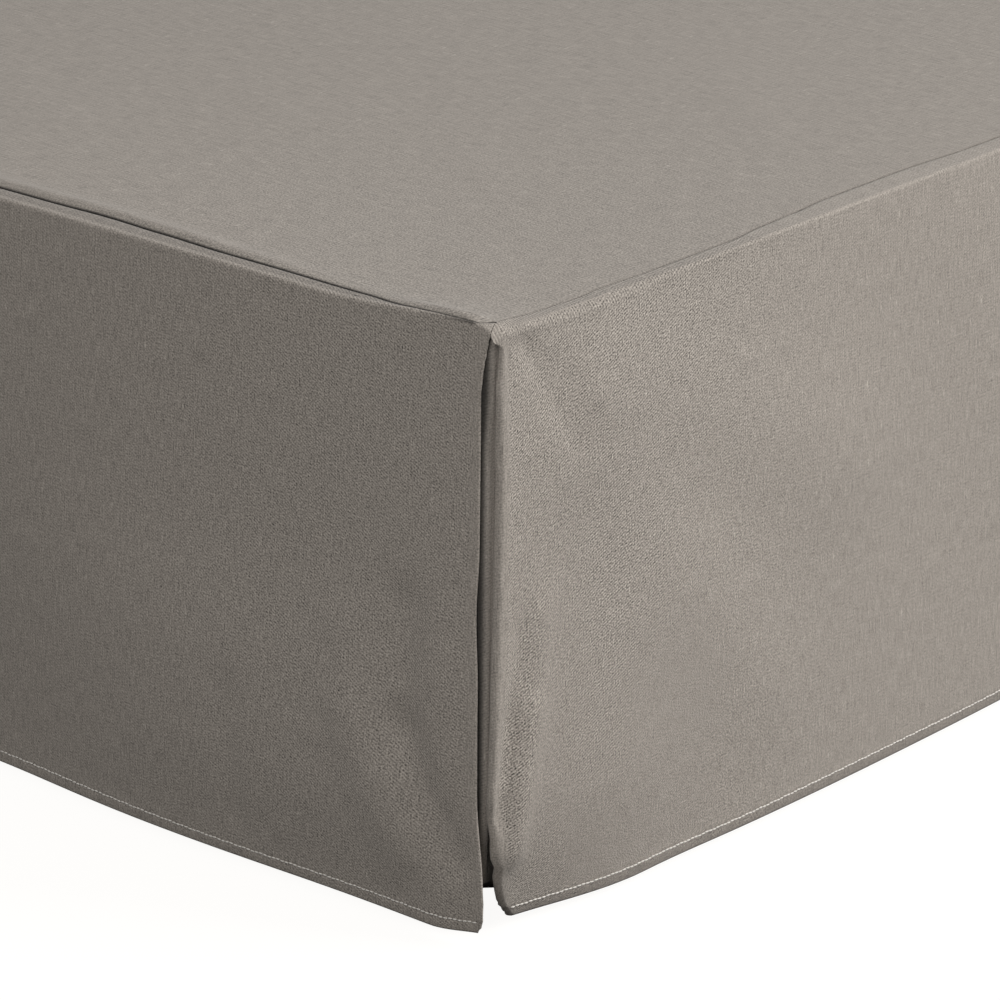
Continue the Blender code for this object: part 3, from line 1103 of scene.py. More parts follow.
@dataclass
class Sheet:
    """A grid of points of a cloth's outer face, made a piece of real thickness."""

    name: str
    across: int
    up: int
    place: Callable[[int, int], Vector]
    flat: Callable[[int, int], tuple[float, float]]
    outwards: bool
    thickness: float
    hem_thickness: float
    is_hem: Callable[[int, int], bool]
    keep: Callable[[list[tuple[int, int]]], bool] | None = None
    marks: dict[str, Callable[[int, int], float]] = field(default_factory=dict)

    def build(self, finish: bpy.types.Material) -> bpy.types.Object:
        """Makes the piece.

        Args:
            finish: Its material.

        Returns:
            The object, at the origin.
        """
        form = bmesh.new()
        across, up = self.across - 1, self.up - 1
        bmesh.ops.create_grid(form, x_segments=across, y_segments=up, size=0.5)
        chart = form.loops.layers.uv.new(UV_NAME)
        marks = {form.verts.layers.float.new(name): mark for name, mark in self.marks.items()}
        index = {
            vertex: (round((vertex.co.x + 0.5) * across), round((vertex.co.y + 0.5) * up))
            for vertex in form.verts
        }
        if self.keep:
            cut = [f for f in form.faces if not self.keep([index[v] for v in f.verts])]
            bmesh.ops.delete(form, geom=cut, context="FACES")
        for face in form.faces:
            for loop in face.loops:
                loop[chart].uv = self.flat(*index[loop.vert])
        for vertex in form.verts:
            i, j = index[vertex]
            vertex.co = self.place(i, j)
            for layer, mark in marks.items():
                vertex[layer] = mark(i, j)
        if not self.outwards:
            bmesh.ops.reverse_faces(form, faces=form.faces)
        form.verts.index_update()
        hem = [v.index for v in form.verts if self.is_hem(*index[v])]
        piece = link_piece(form, self.name, finish)
        piece.data.shade_smooth()
        self.thicken(piece, hem)
        return piece

    def thicken(self, piece: bpy.types.Object, hem: list[int]) -> None:
        """Gives the sheet its thickness, with more of it along its hem.

        Args:
            piece: The sheet's object.
            hem: The numbers of the points that are on the hem.
        """
        group = piece.vertex_groups.new(name="hem")
        group.add(hem, 1.0, "REPLACE")
        solid = piece.modifiers.new("Thickness", "SOLIDIFY")
        solid.thickness = self.hem_thickness
        solid.offset = -1.0
        solid.vertex_group = "hem"
        solid.thickness_vertex_group = self.thickness / self.hem_thickness


def running_lengths(points: list[Vector]) -> list[float]:
    """Each point's distance along the line through them all.

    Args:
        points: The line's points in order.

    Returns:
        The distances, from 0.
    """
    total = [0.0]
    for before, after in zip(points, points[1:]):
        total.append(total[-1] + (after - before).length)
    return total


class Column(NamedTuple):
    """A column of a drop's grid: its place along the drop, or on a pleat, and its turn."""

    place: float | None
    end: End | None
    turn: float


class Row(NamedTuple):
    """A row of a drop's grid.

    On the face it has a height and a depth; over the edge, a turn; on the strip beyond, a share
    of the way to the seam and a dip.
    """

    height: float
    depth: float = 0.0
    turn: float = 0.0
    share: float = 0.0
    dip: float = 0.0


class Darks(NamedTuple):
    """How far a drop's seam dips, as a share, and how much painted shade its hem and the hem's edge
    get.
    """

    dip_share: float
    hem: float
    hem_edge: float


FOOT_DARKS = Darks(dip_share=1.0, hem=0.12, hem_edge=0.30)
SIDE_DARKS = Darks(dip_share=0.493, hem=0.32, hem_edge=0.55)


@dataclass
class Drop:
    """One hanging side of the skirt, with its returns, its hem and the strip over the top edge."""

    plan: Plan
    name: str
    start: Vector
    along: Vector
    outward: Vector
    length: float
    swells: tuple[Swell, ...]
    creases: tuple[Crease, ...]
    darks: Darks
    first: Corner
    last: Corner | None = None
    top_edge: TopEdge = TopEdge()
    return_steps: tuple[float, ...] = (
        0.100, 0.085, 0.070, 0.056, 0.044, 0.034, 0.026, 0.019, 0.0135, 0.0095, 0.0065,
    )
    front_steps: tuple[float, ...] = (
        0.0038, 0.0046, 0.0055, 0.0066, 0.0080, 0.0095, 0.0110, 0.0130, 0.0150, 0.0175, 0.0205,
        0.0240, 0.0280, 0.0320, 0.0365, 0.0410, 0.0460, 0.0510, 0.0560, 0.0620, 0.0680, 0.0740,
        0.0800, 0.0865, 0.0930, 0.1000,
    )
    head_hem_steps: tuple[float, ...] = (0.0, 0.0012, 0.0045)
    head_end_steps: tuple[float, ...] = (0.0012, 0.0005, 0.0)
    turn_step: int = 15
    near_step: float = 0.0065
    far_step: float = 0.0125
    near_run: float = 0.420
    hem_rows: tuple[tuple[float, float], ...] = (
        (0.0000, 0.00080), (0.0003, 0.00040), (0.0008, 0.00012), (0.0016, 0.00000),
        (0.0034, 0.00000), (0.0052, 0.00000), (0.0062, 0.00012), (0.0070, 0.00040),
        (0.0078, 0.00012), (0.0088, 0.00000), (0.0105, 0.00010), (0.0130, 0.00012),
    )
    rows_past_hem: int = 2
    measured_height: float = 0.2
    row_step: float = 0.0065
    top_rows: tuple[float, ...] = (
        0.3160, 0.3200, 0.3235, 0.3265, 0.3295, 0.3320, 0.3345, 0.3370, 0.3390, 0.3410, 0.3425,
        0.3440, 0.3455, 0.3468, 0.3478,
    )
    edge_turns: tuple[float, ...] = (0.0, 15.0, 30.0, 45.0, 60.0, 75.0, 90.0)
    strip_rows: tuple[tuple[float, float], ...] = (
        (0.12, 0.0), (0.26, 0.0), (0.42, 0.0), (0.58, 0.0), (0.72, 0.00004), (0.83, 0.00014),
        (0.91, 0.00034), (0.965, 0.00070), (1.0, 0.00125),
    )
    squeeze_start: float = 0.3320
    bend_gap: float = 0.0004
    radius_share: float = 0.7
    ease_start: float = 0.040
    soft_edge: Ramp = Ramp(0.040, 0.160)
    swell_top: Ramp = Ramp(0.290, 0.048)
    crease_top: Ramp = Ramp(0.344, 0.006)
    pucker_reach: float = 0.014
    pucker_loss: float = 0.85
    pucker_away: Ramp = Ramp(0.10, 0.20)
    # Painted shade: at the hem band and its lower edge, on the foot's strip over the top edge, on the
    # sides' band over the edge near the corner, and along the seam.
    hem_line: Ramp = Ramp(0.0, 0.0006)
    hem_edge: Ramp = Ramp(0.0008, 0.0014)
    strip_shade: float = 0.35
    strip_across: Ramp = Ramp(0.0, 0.25)
    strip_along: Ramp = Ramp(0.03, 0.05)
    band_shade: float = 0.25
    band_place: float = 0.009
    band_reach: float = 0.0075
    line_shade: float = 0.30
    line_shade_near: float = 0.42
    near_corner: Ramp = Ramp(0.12, 0.30)
    weave_away: Ramp = Ramp(0.08, 0.30)
    fold_press: float = 0.95
    fold_away: Ramp = Ramp(0.0042, 0.0050)
    seam_press: float = 0.75

    def __post_init__(self) -> None:
        """Lists the lines of the drop's grid."""
        self.columns = self.list_columns()
        self.rows = self.list_rows()

    def relief(self, along: float, height: float) -> float:
        """How far the face stands out of its plane.

        Args:
            along: How far along the drop the point lies, from its start.
            height: The height above the floor.

        Returns:
            The distance outwards, below 0 where the face lies behind its plane.
        """
        broad = sum(swell.at(along, height) for swell in self.swells)
        fine = sum(crease.at(along, height) for crease in self.creases)
        total = broad * self.swell_top.down(height) + fine * self.crease_top.down(height)
        total -= self.first.curl * self.first.share_at(along, height)
        if self.last:
            total -= self.last.curl * self.last.share_at(self.length - along, height)
        return total

    def lift(self, along: float, height: float) -> float:
        """How far the hem is lifted at a pleat.

        Args:
            along: How far along the drop the point lies, from its start.
            height: The height above the floor.

        Returns:
            The lift, 0 away from the pleats.
        """
        total = self.first.lift * self.first.share_at(along, height)
        if self.last:
            total += self.last.lift * self.last.share_at(self.length - along, height)
        return total

    def rise(self, along: float, inset: float) -> float:
        """How far the top of the drop is raised, at its edge or on the strip.

        Args:
            along: How far along the drop the point lies, from its start.
            inset: How far in from the face the point lies.

        Returns:
            The rise, below 0 where the cloth dips.
        """
        edge, corner = self.top_edge, self.first
        if self.last:
            place = max(min(along, self.length - along), 0.0)
            sunk = edge.sink * edge.sink_along.up(place) * edge.sink_inset.down(inset)
            return edge.rise_at(place, inset) - sunk
        away = (along - corner.strip_start - corner.strip_lean * inset) / (1.0 + corner.strip_lean)
        inwards = 1.0 - smooth(inset / self.seam_inset(along))
        dimple = corner.dimple * bell(away, edge.dimple_reach) * inwards
        return edge.rise_at(inset, max(along, 0.0)) - dimple

    def point(self, along: float, depth: float, height: float, inset: float = 0.0) -> Vector:
        """A point of the drop, its depth measured inwards from the face as it hangs.

        Args:
            along: How far along the drop the point lies, from its start.
            depth: How far behind the face the point lies.
            height: The height above the floor.
            inset: How far in over the top edge it lies, 0 on the face.

        Returns:
            The point.
        """
        depth -= self.relief(along, height)
        raised = self.rise(along, inset) * self.top_edge.raised.up(height)
        place = self.start + self.along * along - self.outward * depth
        return place + UP * (height + raised + self.lift(along, height))

    def seam_inset(self, along: float) -> float:
        """How far in the seam lies.

        Args:
            along: How far along the drop the point lies, from its start.

        Returns:
            The distance from the face's plane to the seam.
        """
        if self.last:
            return between(self.top_edge.foot_seam, min(along, self.length - along))
        return between(self.top_edge.side_seam, along)

    def edge_radius(self, along: float) -> float:
        """How tightly the cloth turns over the top edge.

        Args:
            along: How far along the drop the point lies, from its start.

        Returns:
            The radius of the turn.
        """
        near = 0.0 if self.last else self.soft_edge.down(along)
        radius = self.plan.edge_radius + (self.plan.soft_radius - self.plan.edge_radius) * near
        return min(radius, self.radius_share * self.seam_inset(along))

    def from_edge(self, distance: float, height: float, inset: float, end: End) -> float:
        """The place along the drop that lies this far from a fold edge.

        Args:
            distance: The distance from the fold edge.
            height: The height above the floor.
            inset: How far in over the top edge the place is, 0 on the face.
            end: Which end of the drop the fold is at.

        Returns:
            The place, measured from the drop's start.
        """
        corner = self.first if end is End.START else self.last
        back = corner.back_at(height)
        if inset > 0.0:
            back = max(back, corner.strip_start + corner.strip_lean * inset + self.plan.seam_gap)
        back *= math.exp(-distance / self.plan.setback_run)
        back *= 1.0 - smooth((distance - self.ease_start) / (self.front_steps[-1] - self.ease_start))
        place = distance + back
        return place if end is End.START else self.length - place

    def return_depth(self, distance: float, height: float, corner: Corner) -> float:
        """How deep the outer face of a return lies.

        Args:
            distance: The distance from the fold edge.
            height: The height above the floor.
            corner: The corner that the return belongs to.

        Returns:
            The depth behind the face.
        """
        shut = 2.0 * self.plan.solid_cloth + self.plan.layer_gap
        fold = 2.0 * between(corner.fold_radii, height)
        return shut + (fold - shut) * math.exp(-distance / self.plan.fold_openness)

    def list_columns(self) -> list[Column]:
        """All columns from the first corner to the other end.

        Returns:
            The columns in order.
        """

        def pleat(end: End) -> list[Column]:
            """Columns from a return's free edge, round the fold and out along the face.

            Args:
                end: Which end of the drop.

            Returns:
                The columns in order.
            """
            behind = [Column(step, end, 180.0) for step in self.return_steps]
            fold = [Column(None, end, float(turn)) for turn in range(180, -1, -self.turn_step)]
            front = [Column(step, end, 0.0) for step in self.front_steps]
            columns = behind + fold + front
            return columns if end is End.START else columns[::-1]

        reach = self.front_steps[-1]
        places = steps(reach, self.near_run, self.near_step) + [self.near_run]
        if self.last:
            middle = self.length - self.near_run
            places += steps(self.near_run, middle, self.far_step) + [middle]
            places += steps(middle, self.length - reach, self.near_step)
            finish = pleat(End.FINISH)
        else:
            turned = self.length - self.plan.hem_height
            places += steps(self.near_run, turned, self.far_step)
            places += [turned + step for step in self.head_hem_steps]
            places += [self.length - step for step in self.head_end_steps]
            finish = []
        return pleat(End.START) + [Column(place, None, 0.0) for place in places] + finish

    def list_rows(self) -> list[Row]:
        """All rows from the hem to the seam.

        Returns:
            The rows in order.
        """
        plan = self.plan
        rows = [Row(plan.hem_clearance + up, deep) for up, deep in self.hem_rows]
        low, high = rows[-1].height, self.top_rows[0]
        rows += [Row(height) for height in steps(low, high, self.row_step)]
        rows += [Row(height) for height in self.top_rows]
        rows += [Row(plan.deck_top, turn=turn) for turn in self.edge_turns]
        rows += [Row(plan.deck_top, turn=90.0, share=share, dip=dip) for share, dip in self.strip_rows]
        return rows

    def over_edge(self, row: Row, along: float) -> tuple[float, float]:
        """A row's height and inset at a place, where the cloth turns over the top edge.

        Args:
            row: The row.
            along: How far along the drop the point lies, from its start.

        Returns:
            The height, and how far in over the top edge the row lies.
        """
        radius = self.edge_radius(along)
        if row.height < self.plan.deck_top:
            room = self.plan.deck_top - radius - self.bend_gap - self.squeeze_start
            share = min(1.0, room / (self.top_rows[-1] - self.squeeze_start))
            return row.height - (1.0 - share) * max(0.0, row.height - self.squeeze_start), 0.0
        angle = math.radians(row.turn)
        inset = radius * (1.0 - math.cos(angle))
        inset += (self.seam_inset(along) - radius) * row.share
        height = row.height - radius * (1.0 - math.sin(angle))
        return height - row.dip * self.darks.dip_share, inset

    def place(self, i: int, j: int) -> Vector:
        """The point of the outer face at a column and a row.

        Args:
            i: The column's number.
            j: The row's number.

        Returns:
            The point.
        """
        column, row = self.columns[i], self.rows[j]
        if column.end is None:
            height, inset = self.over_edge(row, column.place)
            return self.point(column.place, row.depth + inset, height, inset)
        corner = self.first if column.end is End.START else self.last
        nearest = column.place or 0.0
        height, inset = self.over_edge(row, self.from_edge(nearest, row.height, 0.0, column.end))
        distance, behind = nearest, 0.0
        if column.place is None:
            radius = between(corner.fold_radii, height)
            turn = math.radians(column.turn)
            distance = radius * (1.0 - math.sin(turn))
            behind = radius * (1.0 - math.cos(turn))
        elif column.turn:
            behind = self.return_depth(distance, height, corner)
        along = self.from_edge(distance, height, inset, column.end)
        if inset > 0.0:
            height, inset = self.over_edge(row, along)
            behind = 0.0
        depth = row.depth * math.cos(math.radians(column.turn))
        return self.point(along, depth + behind + inset, height, inset)

    def keep(self, corners: list[tuple[int, int]]) -> bool:
        """Tells which faces are cloth: a return stops below the top edge.

        Args:
            corners: The column and the row of each of a face's corners.

        Returns:
            Whether the face is cloth.
        """
        over = max(self.rows[j].height for _, j in corners) > self.plan.pleat_top
        behind = all(self.columns[i].turn >= 90.0 for i, _ in corners)
        return not (over and behind)

    def from_corner(self, i: int) -> float:
        """How far a column lies from the nearest corner at the foot.

        Args:
            i: The column's number.

        Returns:
            The distance, 0 on a fold.
        """
        place = self.columns[i].place or 0.0
        if self.columns[i].end is None and self.last:
            return min(place, self.length - place)
        return place

    def pucker(self, i: int, j: int) -> float:
        """How strongly the seam draws the cloth up, beside the seam and near a pleat.

        Args:
            i: The column's number.
            j: The row's number.

        Returns:
            The mark, from 0 to 1.
        """
        row = self.rows[j]
        if self.columns[i].turn or self.last:
            return 0.0
        below = max(0.0, self.plan.deck_top - row.height)
        from_seam = below + self.plan.seam_inset * (1.0 - row.share)
        loss = self.pucker_loss * self.pucker_away.up(self.from_corner(i))
        return bell(from_seam, self.pucker_reach) * (1.0 - loss)

    def shade(self, i: int, j: int) -> float:
        """How much painted shade the cloth gets: along the seam, beside it and at the hem.

        Args:
            i: The column's number.
            j: The row's number.

        Returns:
            The mark, 0 where the cloth isn't darkened.
        """
        row, corner = self.rows[j], self.from_corner(i)
        if self.columns[i].turn > 90.0:
            return 0.0
        # Painted shade: a dark line along the seam, the hem band and its lower edge, on the foot the
        # strip over the top edge, on the sides a band over the edge near the corner.
        away = self.seam_inset(corner) * (1.0 - row.share) + max(0.0, self.plan.deck_top - row.height)
        up = row.height - self.plan.hem_clearance
        hem = self.darks.hem * self.hem_line.down(up - self.plan.stitch_height)
        hem = max(hem, self.darks.hem_edge * self.hem_edge.down(up))
        if self.last:
            strip = self.strip_shade * self.strip_across.up(row.share) * self.strip_along.up(corner)
            return bell(away, SEAM_LINE) + strip + hem
        near = self.near_corner.down(corner)
        band = self.band_shade * near * bell(away - self.band_place, self.band_reach)
        return (self.line_shade + self.line_shade_near * near) * bell(away, SEAM_LINE) + band + hem

    def fade(self, i: int, j: int) -> float:
        """How much fainter the weave is: far from the corner, on a fold and along the seam.

        Args:
            i: The column's number.
            j: The row's number.

        Returns:
            The mark, from 0 to 1.
        """
        corner = self.from_corner(i)
        pressed = self.fold_press * self.fold_away.down(corner) if self.columns[i].end else 0.0
        return max(self.weave_away.up(corner), pressed, self.seam_press * self.pucker(i, j))

    def is_hem(self, i: int, j: int) -> bool:
        """Tells where the cloth is doubled: at the hem, and at the head up to the top edge.

        Args:
            i: The column's number.
            j: The row's number.

        Returns:
            Whether it is doubled there.
        """
        top = len(self.rows) - len(self.edge_turns) - len(self.strip_rows)
        head = len(self.columns) - len(self.head_hem_steps) - len(self.head_end_steps)
        at_head = self.last is None and i >= head and j < top
        return at_head or j < len(self.hem_rows) - self.rows_past_hem

    def build(self, finish: bpy.types.Material) -> bpy.types.Object:
        """Makes the drop's sheet.

        Args:
            finish: Its material.

        Returns:
            The sheet's object.
        """
        across, up = len(self.columns), len(self.rows)
        points = [[self.place(i, j) for j in range(up)] for i in range(across)]
        middle = across // 2
        measured = min(range(up), key=lambda j: abs(self.rows[j].height - self.measured_height))
        runs = [running_lengths([points[i][j] for i in range(across)]) for j in range(up)]
        climbs = [running_lengths(column) for column in points]
        self.flat_size = (runs[measured][-1], climbs[middle][-1])
        return Sheet(
            name=self.name,
            across=across,
            up=up,
            place=lambda i, j: points[i][j],
            flat=lambda i, j: (runs[j][i] - runs[j][middle], climbs[i][j]),
            outwards=self.along.cross(UP).dot(self.outward) > 0.0,
            thickness=self.plan.cloth,
            hem_thickness=self.plan.hem_cloth,
            is_hem=self.is_hem,
            keep=self.keep,
            marks={PUCKER_NAME: self.pucker, PAINTED_SHADE_NAME: self.shade, FADE_NAME: self.fade},
        ).build(finish)


@dataclass
class HemStitches:
    """The line of topstitching along a drop's hem."""

    drop: Drop
    name: str
    pitch: float = 0.0031
    length: float = 0.0036
    width: float = 0.00110
    sag: float = 0.00002
    pleat_gap: float = 0.003
    head_gap: float = 0.008
    waves: tuple[tuple[float, float], ...] = ((0.00018, 1.7), (0.0003, 0.083))

    def build(self, finish: bpy.types.Material) -> bpy.types.Object:
        """Makes every stitch of the line.

        Args:
            finish: The thread's material.

        Returns:
            One object that holds them all.
        """
        plan = self.drop.plan
        height = plan.hem_clearance + plan.stitch_height
        start = self.drop.first.back_at(height) + self.pleat_gap
        last = self.drop.last
        end = self.drop.length - (last.back_at(height) + self.pleat_gap if last else self.head_gap)
        form = bmesh.new()
        count = int((end - start) / self.pitch)
        for number in range(count):
            along = start + (number + 0.5) * self.pitch
            level = height + sum(size * math.sin(number * rate) for size, rate in self.waves)
            before = self.drop.point(along - self.length / 2, self.sag, level)
            after = self.drop.point(along + self.length / 2, self.sag, level)
            centre = (before + after) / 2
            run = (after - before).normalized()
            side = run.cross(self.drop.outward).normalized()
            out = side.cross(run)
            turn = Matrix((run, side, out)).transposed().to_4x4()
            size = Matrix.Diagonal((self.length, self.width, self.width, 1.0))
            matrix = Matrix.Translation(centre) @ turn @ size
            bmesh.ops.create_icosphere(form, subdivisions=1, radius=0.5, matrix=matrix)
        bmesh.ops.recalc_face_normals(form, faces=form.faces)
        piece = link_piece(form, self.name, finish)
        piece.data.shade_smooth()
        return piece


@dataclass
class Underlay:
    """The cloth behind a split corner: an upright fold round the corner that swings in below."""

    plan: Plan
    name: str
    foot: Drop
    side: Drop
    foot_end: End
    hem: float = 0.0075
    top: float = 0.3465
    top_rise: float = 0.0035
    swing_height: float = 0.100
    curl_height: float = 0.026
    curl_share: float = 0.65
    corner_radius: float = 0.0045
    gap: float = 0.0010
    base_clearance: float = 0.0002
    solid_hem: float = 0.0024
    hem_fade: Ramp = Ramp(0.015, 0.030)
    recess: float = 0.0080
    recess_start: Ramp = Ramp(0.0, 0.0015)
    recess_end: Ramp = Ramp(0.0090, 0.0120)
    # Painted shade in the hollow behind the foot's fold, less of it low down and out along the turn,
    # and where the cloth slips behind the side's fold.
    hollow_dark: float = 0.84
    low_share: float = 0.15
    low_fade: Ramp = Ramp(0.030, 0.060)
    turn_fade: Ramp = Ramp(0.15, 0.65)
    slip_dark: float = 0.60
    slip_fade: Ramp = Ramp(0.0010, 0.0035)
    hem_rows: tuple[float, ...] = (0.0, 0.0005, 0.002)
    rows_past_hem: tuple[float, ...] = (-0.002, 0.0, 0.0015)
    heights: list[float] = field(default_factory=list)
    leg_steps: int = 9
    leg_offsets: tuple[float, ...] = (
        0.0300, 0.0260, 0.0225, 0.0195, 0.0165, 0.0135, 0.0105, 0.0075, 0.0050, 0.0030, 0.0018,
        0.0012, 0.0006,
    )
    arc_steps: int = 10
    row_step: float = 0.0065

    @property
    def deepest(self) -> float:
        """How far in the underlay's front may lie and still clear the base."""
        return self.plan.ease - self.plan.cloth - self.base_clearance

    def depth(self, drop: Drop, distance: float, height: float) -> float:
        """How far the underlay's front lies behind a drop's face."""
        hem = (self.solid_hem - self.plan.solid_cloth) * self.hem_fade.down(height)
        return drop.return_depth(max(distance, 0.0), height, drop.first) + self.gap + hem

    def reach(self, drop: Drop, height: float) -> float:
        """How far along a drop its leg ends and the turn round the corner begins."""
        other = self.side if drop is self.foot else self.foot
        return self.depth(other, 0.0, height) + self.corner_radius

    def hollow(self, offset: float) -> float:
        """How deep the hollow behind the foot's fold is at a distance from the turn, 0 to 1."""
        return self.recess_start.up(offset) * self.recess_end.down(offset)

    def shade(self, i: int, j: int) -> float:
        """How much painted shade the cloth gets behind the foot's fold and where it slips behind the
        side's.

        Args:
            i: The column's number.
            j: The row's number.

        Returns:
            The mark, 0 where the cloth isn't darkened.
        """
        leg = self.leg_steps + len(self.leg_offsets)
        rising = (1.0 - self.low_share) * self.low_fade.up(self.heights[j])
        dark = self.hollow_dark * (self.low_share + rising)
        if i < leg:
            return dark
        share = (i - leg) / self.arc_steps
        if share <= 1.0:
            return dark * self.turn_fade.down(share)
        beyond = i - leg - self.arc_steps - 1
        if beyond >= len(self.leg_offsets):
            return 0.0
        return self.slip_dark * self.slip_fade.up(self.leg_offsets[-1 - beyond])

    def leg(self, drop: Drop, end: End, height: float) -> list[Vector]:
        """Points from a return's free edge towards the corner.

        Args:
            drop: The drop that the points lie behind.
            end: Which end of that drop.
            height: The height above the floor.

        Returns:
            The points in order.
        """
        corner = drop.first if end is End.START else drop.last
        back = corner.back_at(height)
        reach = self.reach(drop, height)
        points = []
        far = self.plan.pleat_depth - reach
        near = self.leg_offsets[0]
        offsets = [far + (near - far) * step / self.leg_steps for step in range(self.leg_steps)]
        for offset in (*offsets, *self.leg_offsets):
            place = reach + offset
            depth = self.depth(drop, place - back, height)
            if drop is self.foot:
                depth += self.recess * self.hollow(offset)
            along = place if end is End.START else drop.length - place
            flat = drop.point(along, depth, height)
            deep = (drop.start - flat).dot(drop.outward) - self.deepest
            flat += drop.outward * max(0.0, deep)
            points.append(Vector((flat.x, flat.y, height + self.raise_top(height))))
        return points

    def raise_top(self, height: float) -> float:
        """How far the top is drawn up with the corner."""
        return self.top_rise * self.foot.top_edge.raised.up(height)

    def line(self, height: float) -> list[Vector]:
        """The front at one height: round the corner above, and straight across it at the hem.

        Args:
            height: The height above the floor.

        Returns:
            The points, from behind the foot drop to behind the side drop.
        """
        first = self.leg(self.foot, self.foot_end, height)
        second = self.leg(self.side, End.START, height)
        at_start = self.foot_end is End.START
        corner = self.foot.start + self.foot.along * (0.0 if at_start else self.foot.length)
        inwards = self.foot.along if at_start else -self.foot.along
        centre = corner + inwards * self.reach(self.foot, height)
        centre += self.side.along * self.reach(self.side, height)
        arc = []
        for step in range(self.arc_steps + 1):
            turn = math.radians(90.0 * step / self.arc_steps)
            spoke = self.foot.outward * math.cos(turn) + self.side.outward * math.sin(turn)
            place = centre + spoke * self.corner_radius
            arc.append(Vector((place.x, place.y, height + self.raise_top(height))))
        line = first + arc + second[::-1]
        share = (height - self.hem) / (self.swing_height - self.hem)
        curl = smooth(1.0 - (height - self.hem) / self.curl_height)
        swing = (1.0 - self.curl_share) * smooth(1.0 - share) + self.curl_share * curl
        across = (line[-1] - line[0]).normalized()
        straight = [line[0] + across * (point - line[0]).dot(across) for point in line]
        return [point.lerp(flat, swing) for point, flat in zip(line, straight)]

    def build(self, finish: bpy.types.Material) -> bpy.types.Object:
        """Makes the underlay's sheet.

        Args:
            finish: Its material.

        Returns:
            The sheet's object.
        """
        low = self.hem + self.plan.hem_height
        heights = self.heights
        heights += [self.hem + step for step in self.hem_rows]
        heights += [low + step for step in self.rows_past_hem]
        heights += steps(heights[-1], self.top, self.row_step) + [self.top]
        lines = [self.line(height) for height in heights]
        flat_along = running_lengths(lines[len(lines) // 2])
        self.flat_size = (flat_along[-1], self.top - self.hem)
        return Sheet(
            name=self.name,
            across=len(lines[0]),
            up=len(heights),
            place=lambda i, j: lines[j][i],
            flat=lambda i, j: (flat_along[i], heights[j]),
            outwards=self.foot_end is End.FINISH,
            thickness=self.plan.cloth,
            hem_thickness=self.plan.hem_cloth,
            is_hem=lambda i, j: heights[j] < low,
            marks={PAINTED_SHADE_NAME: self.shade},
        ).build(finish)


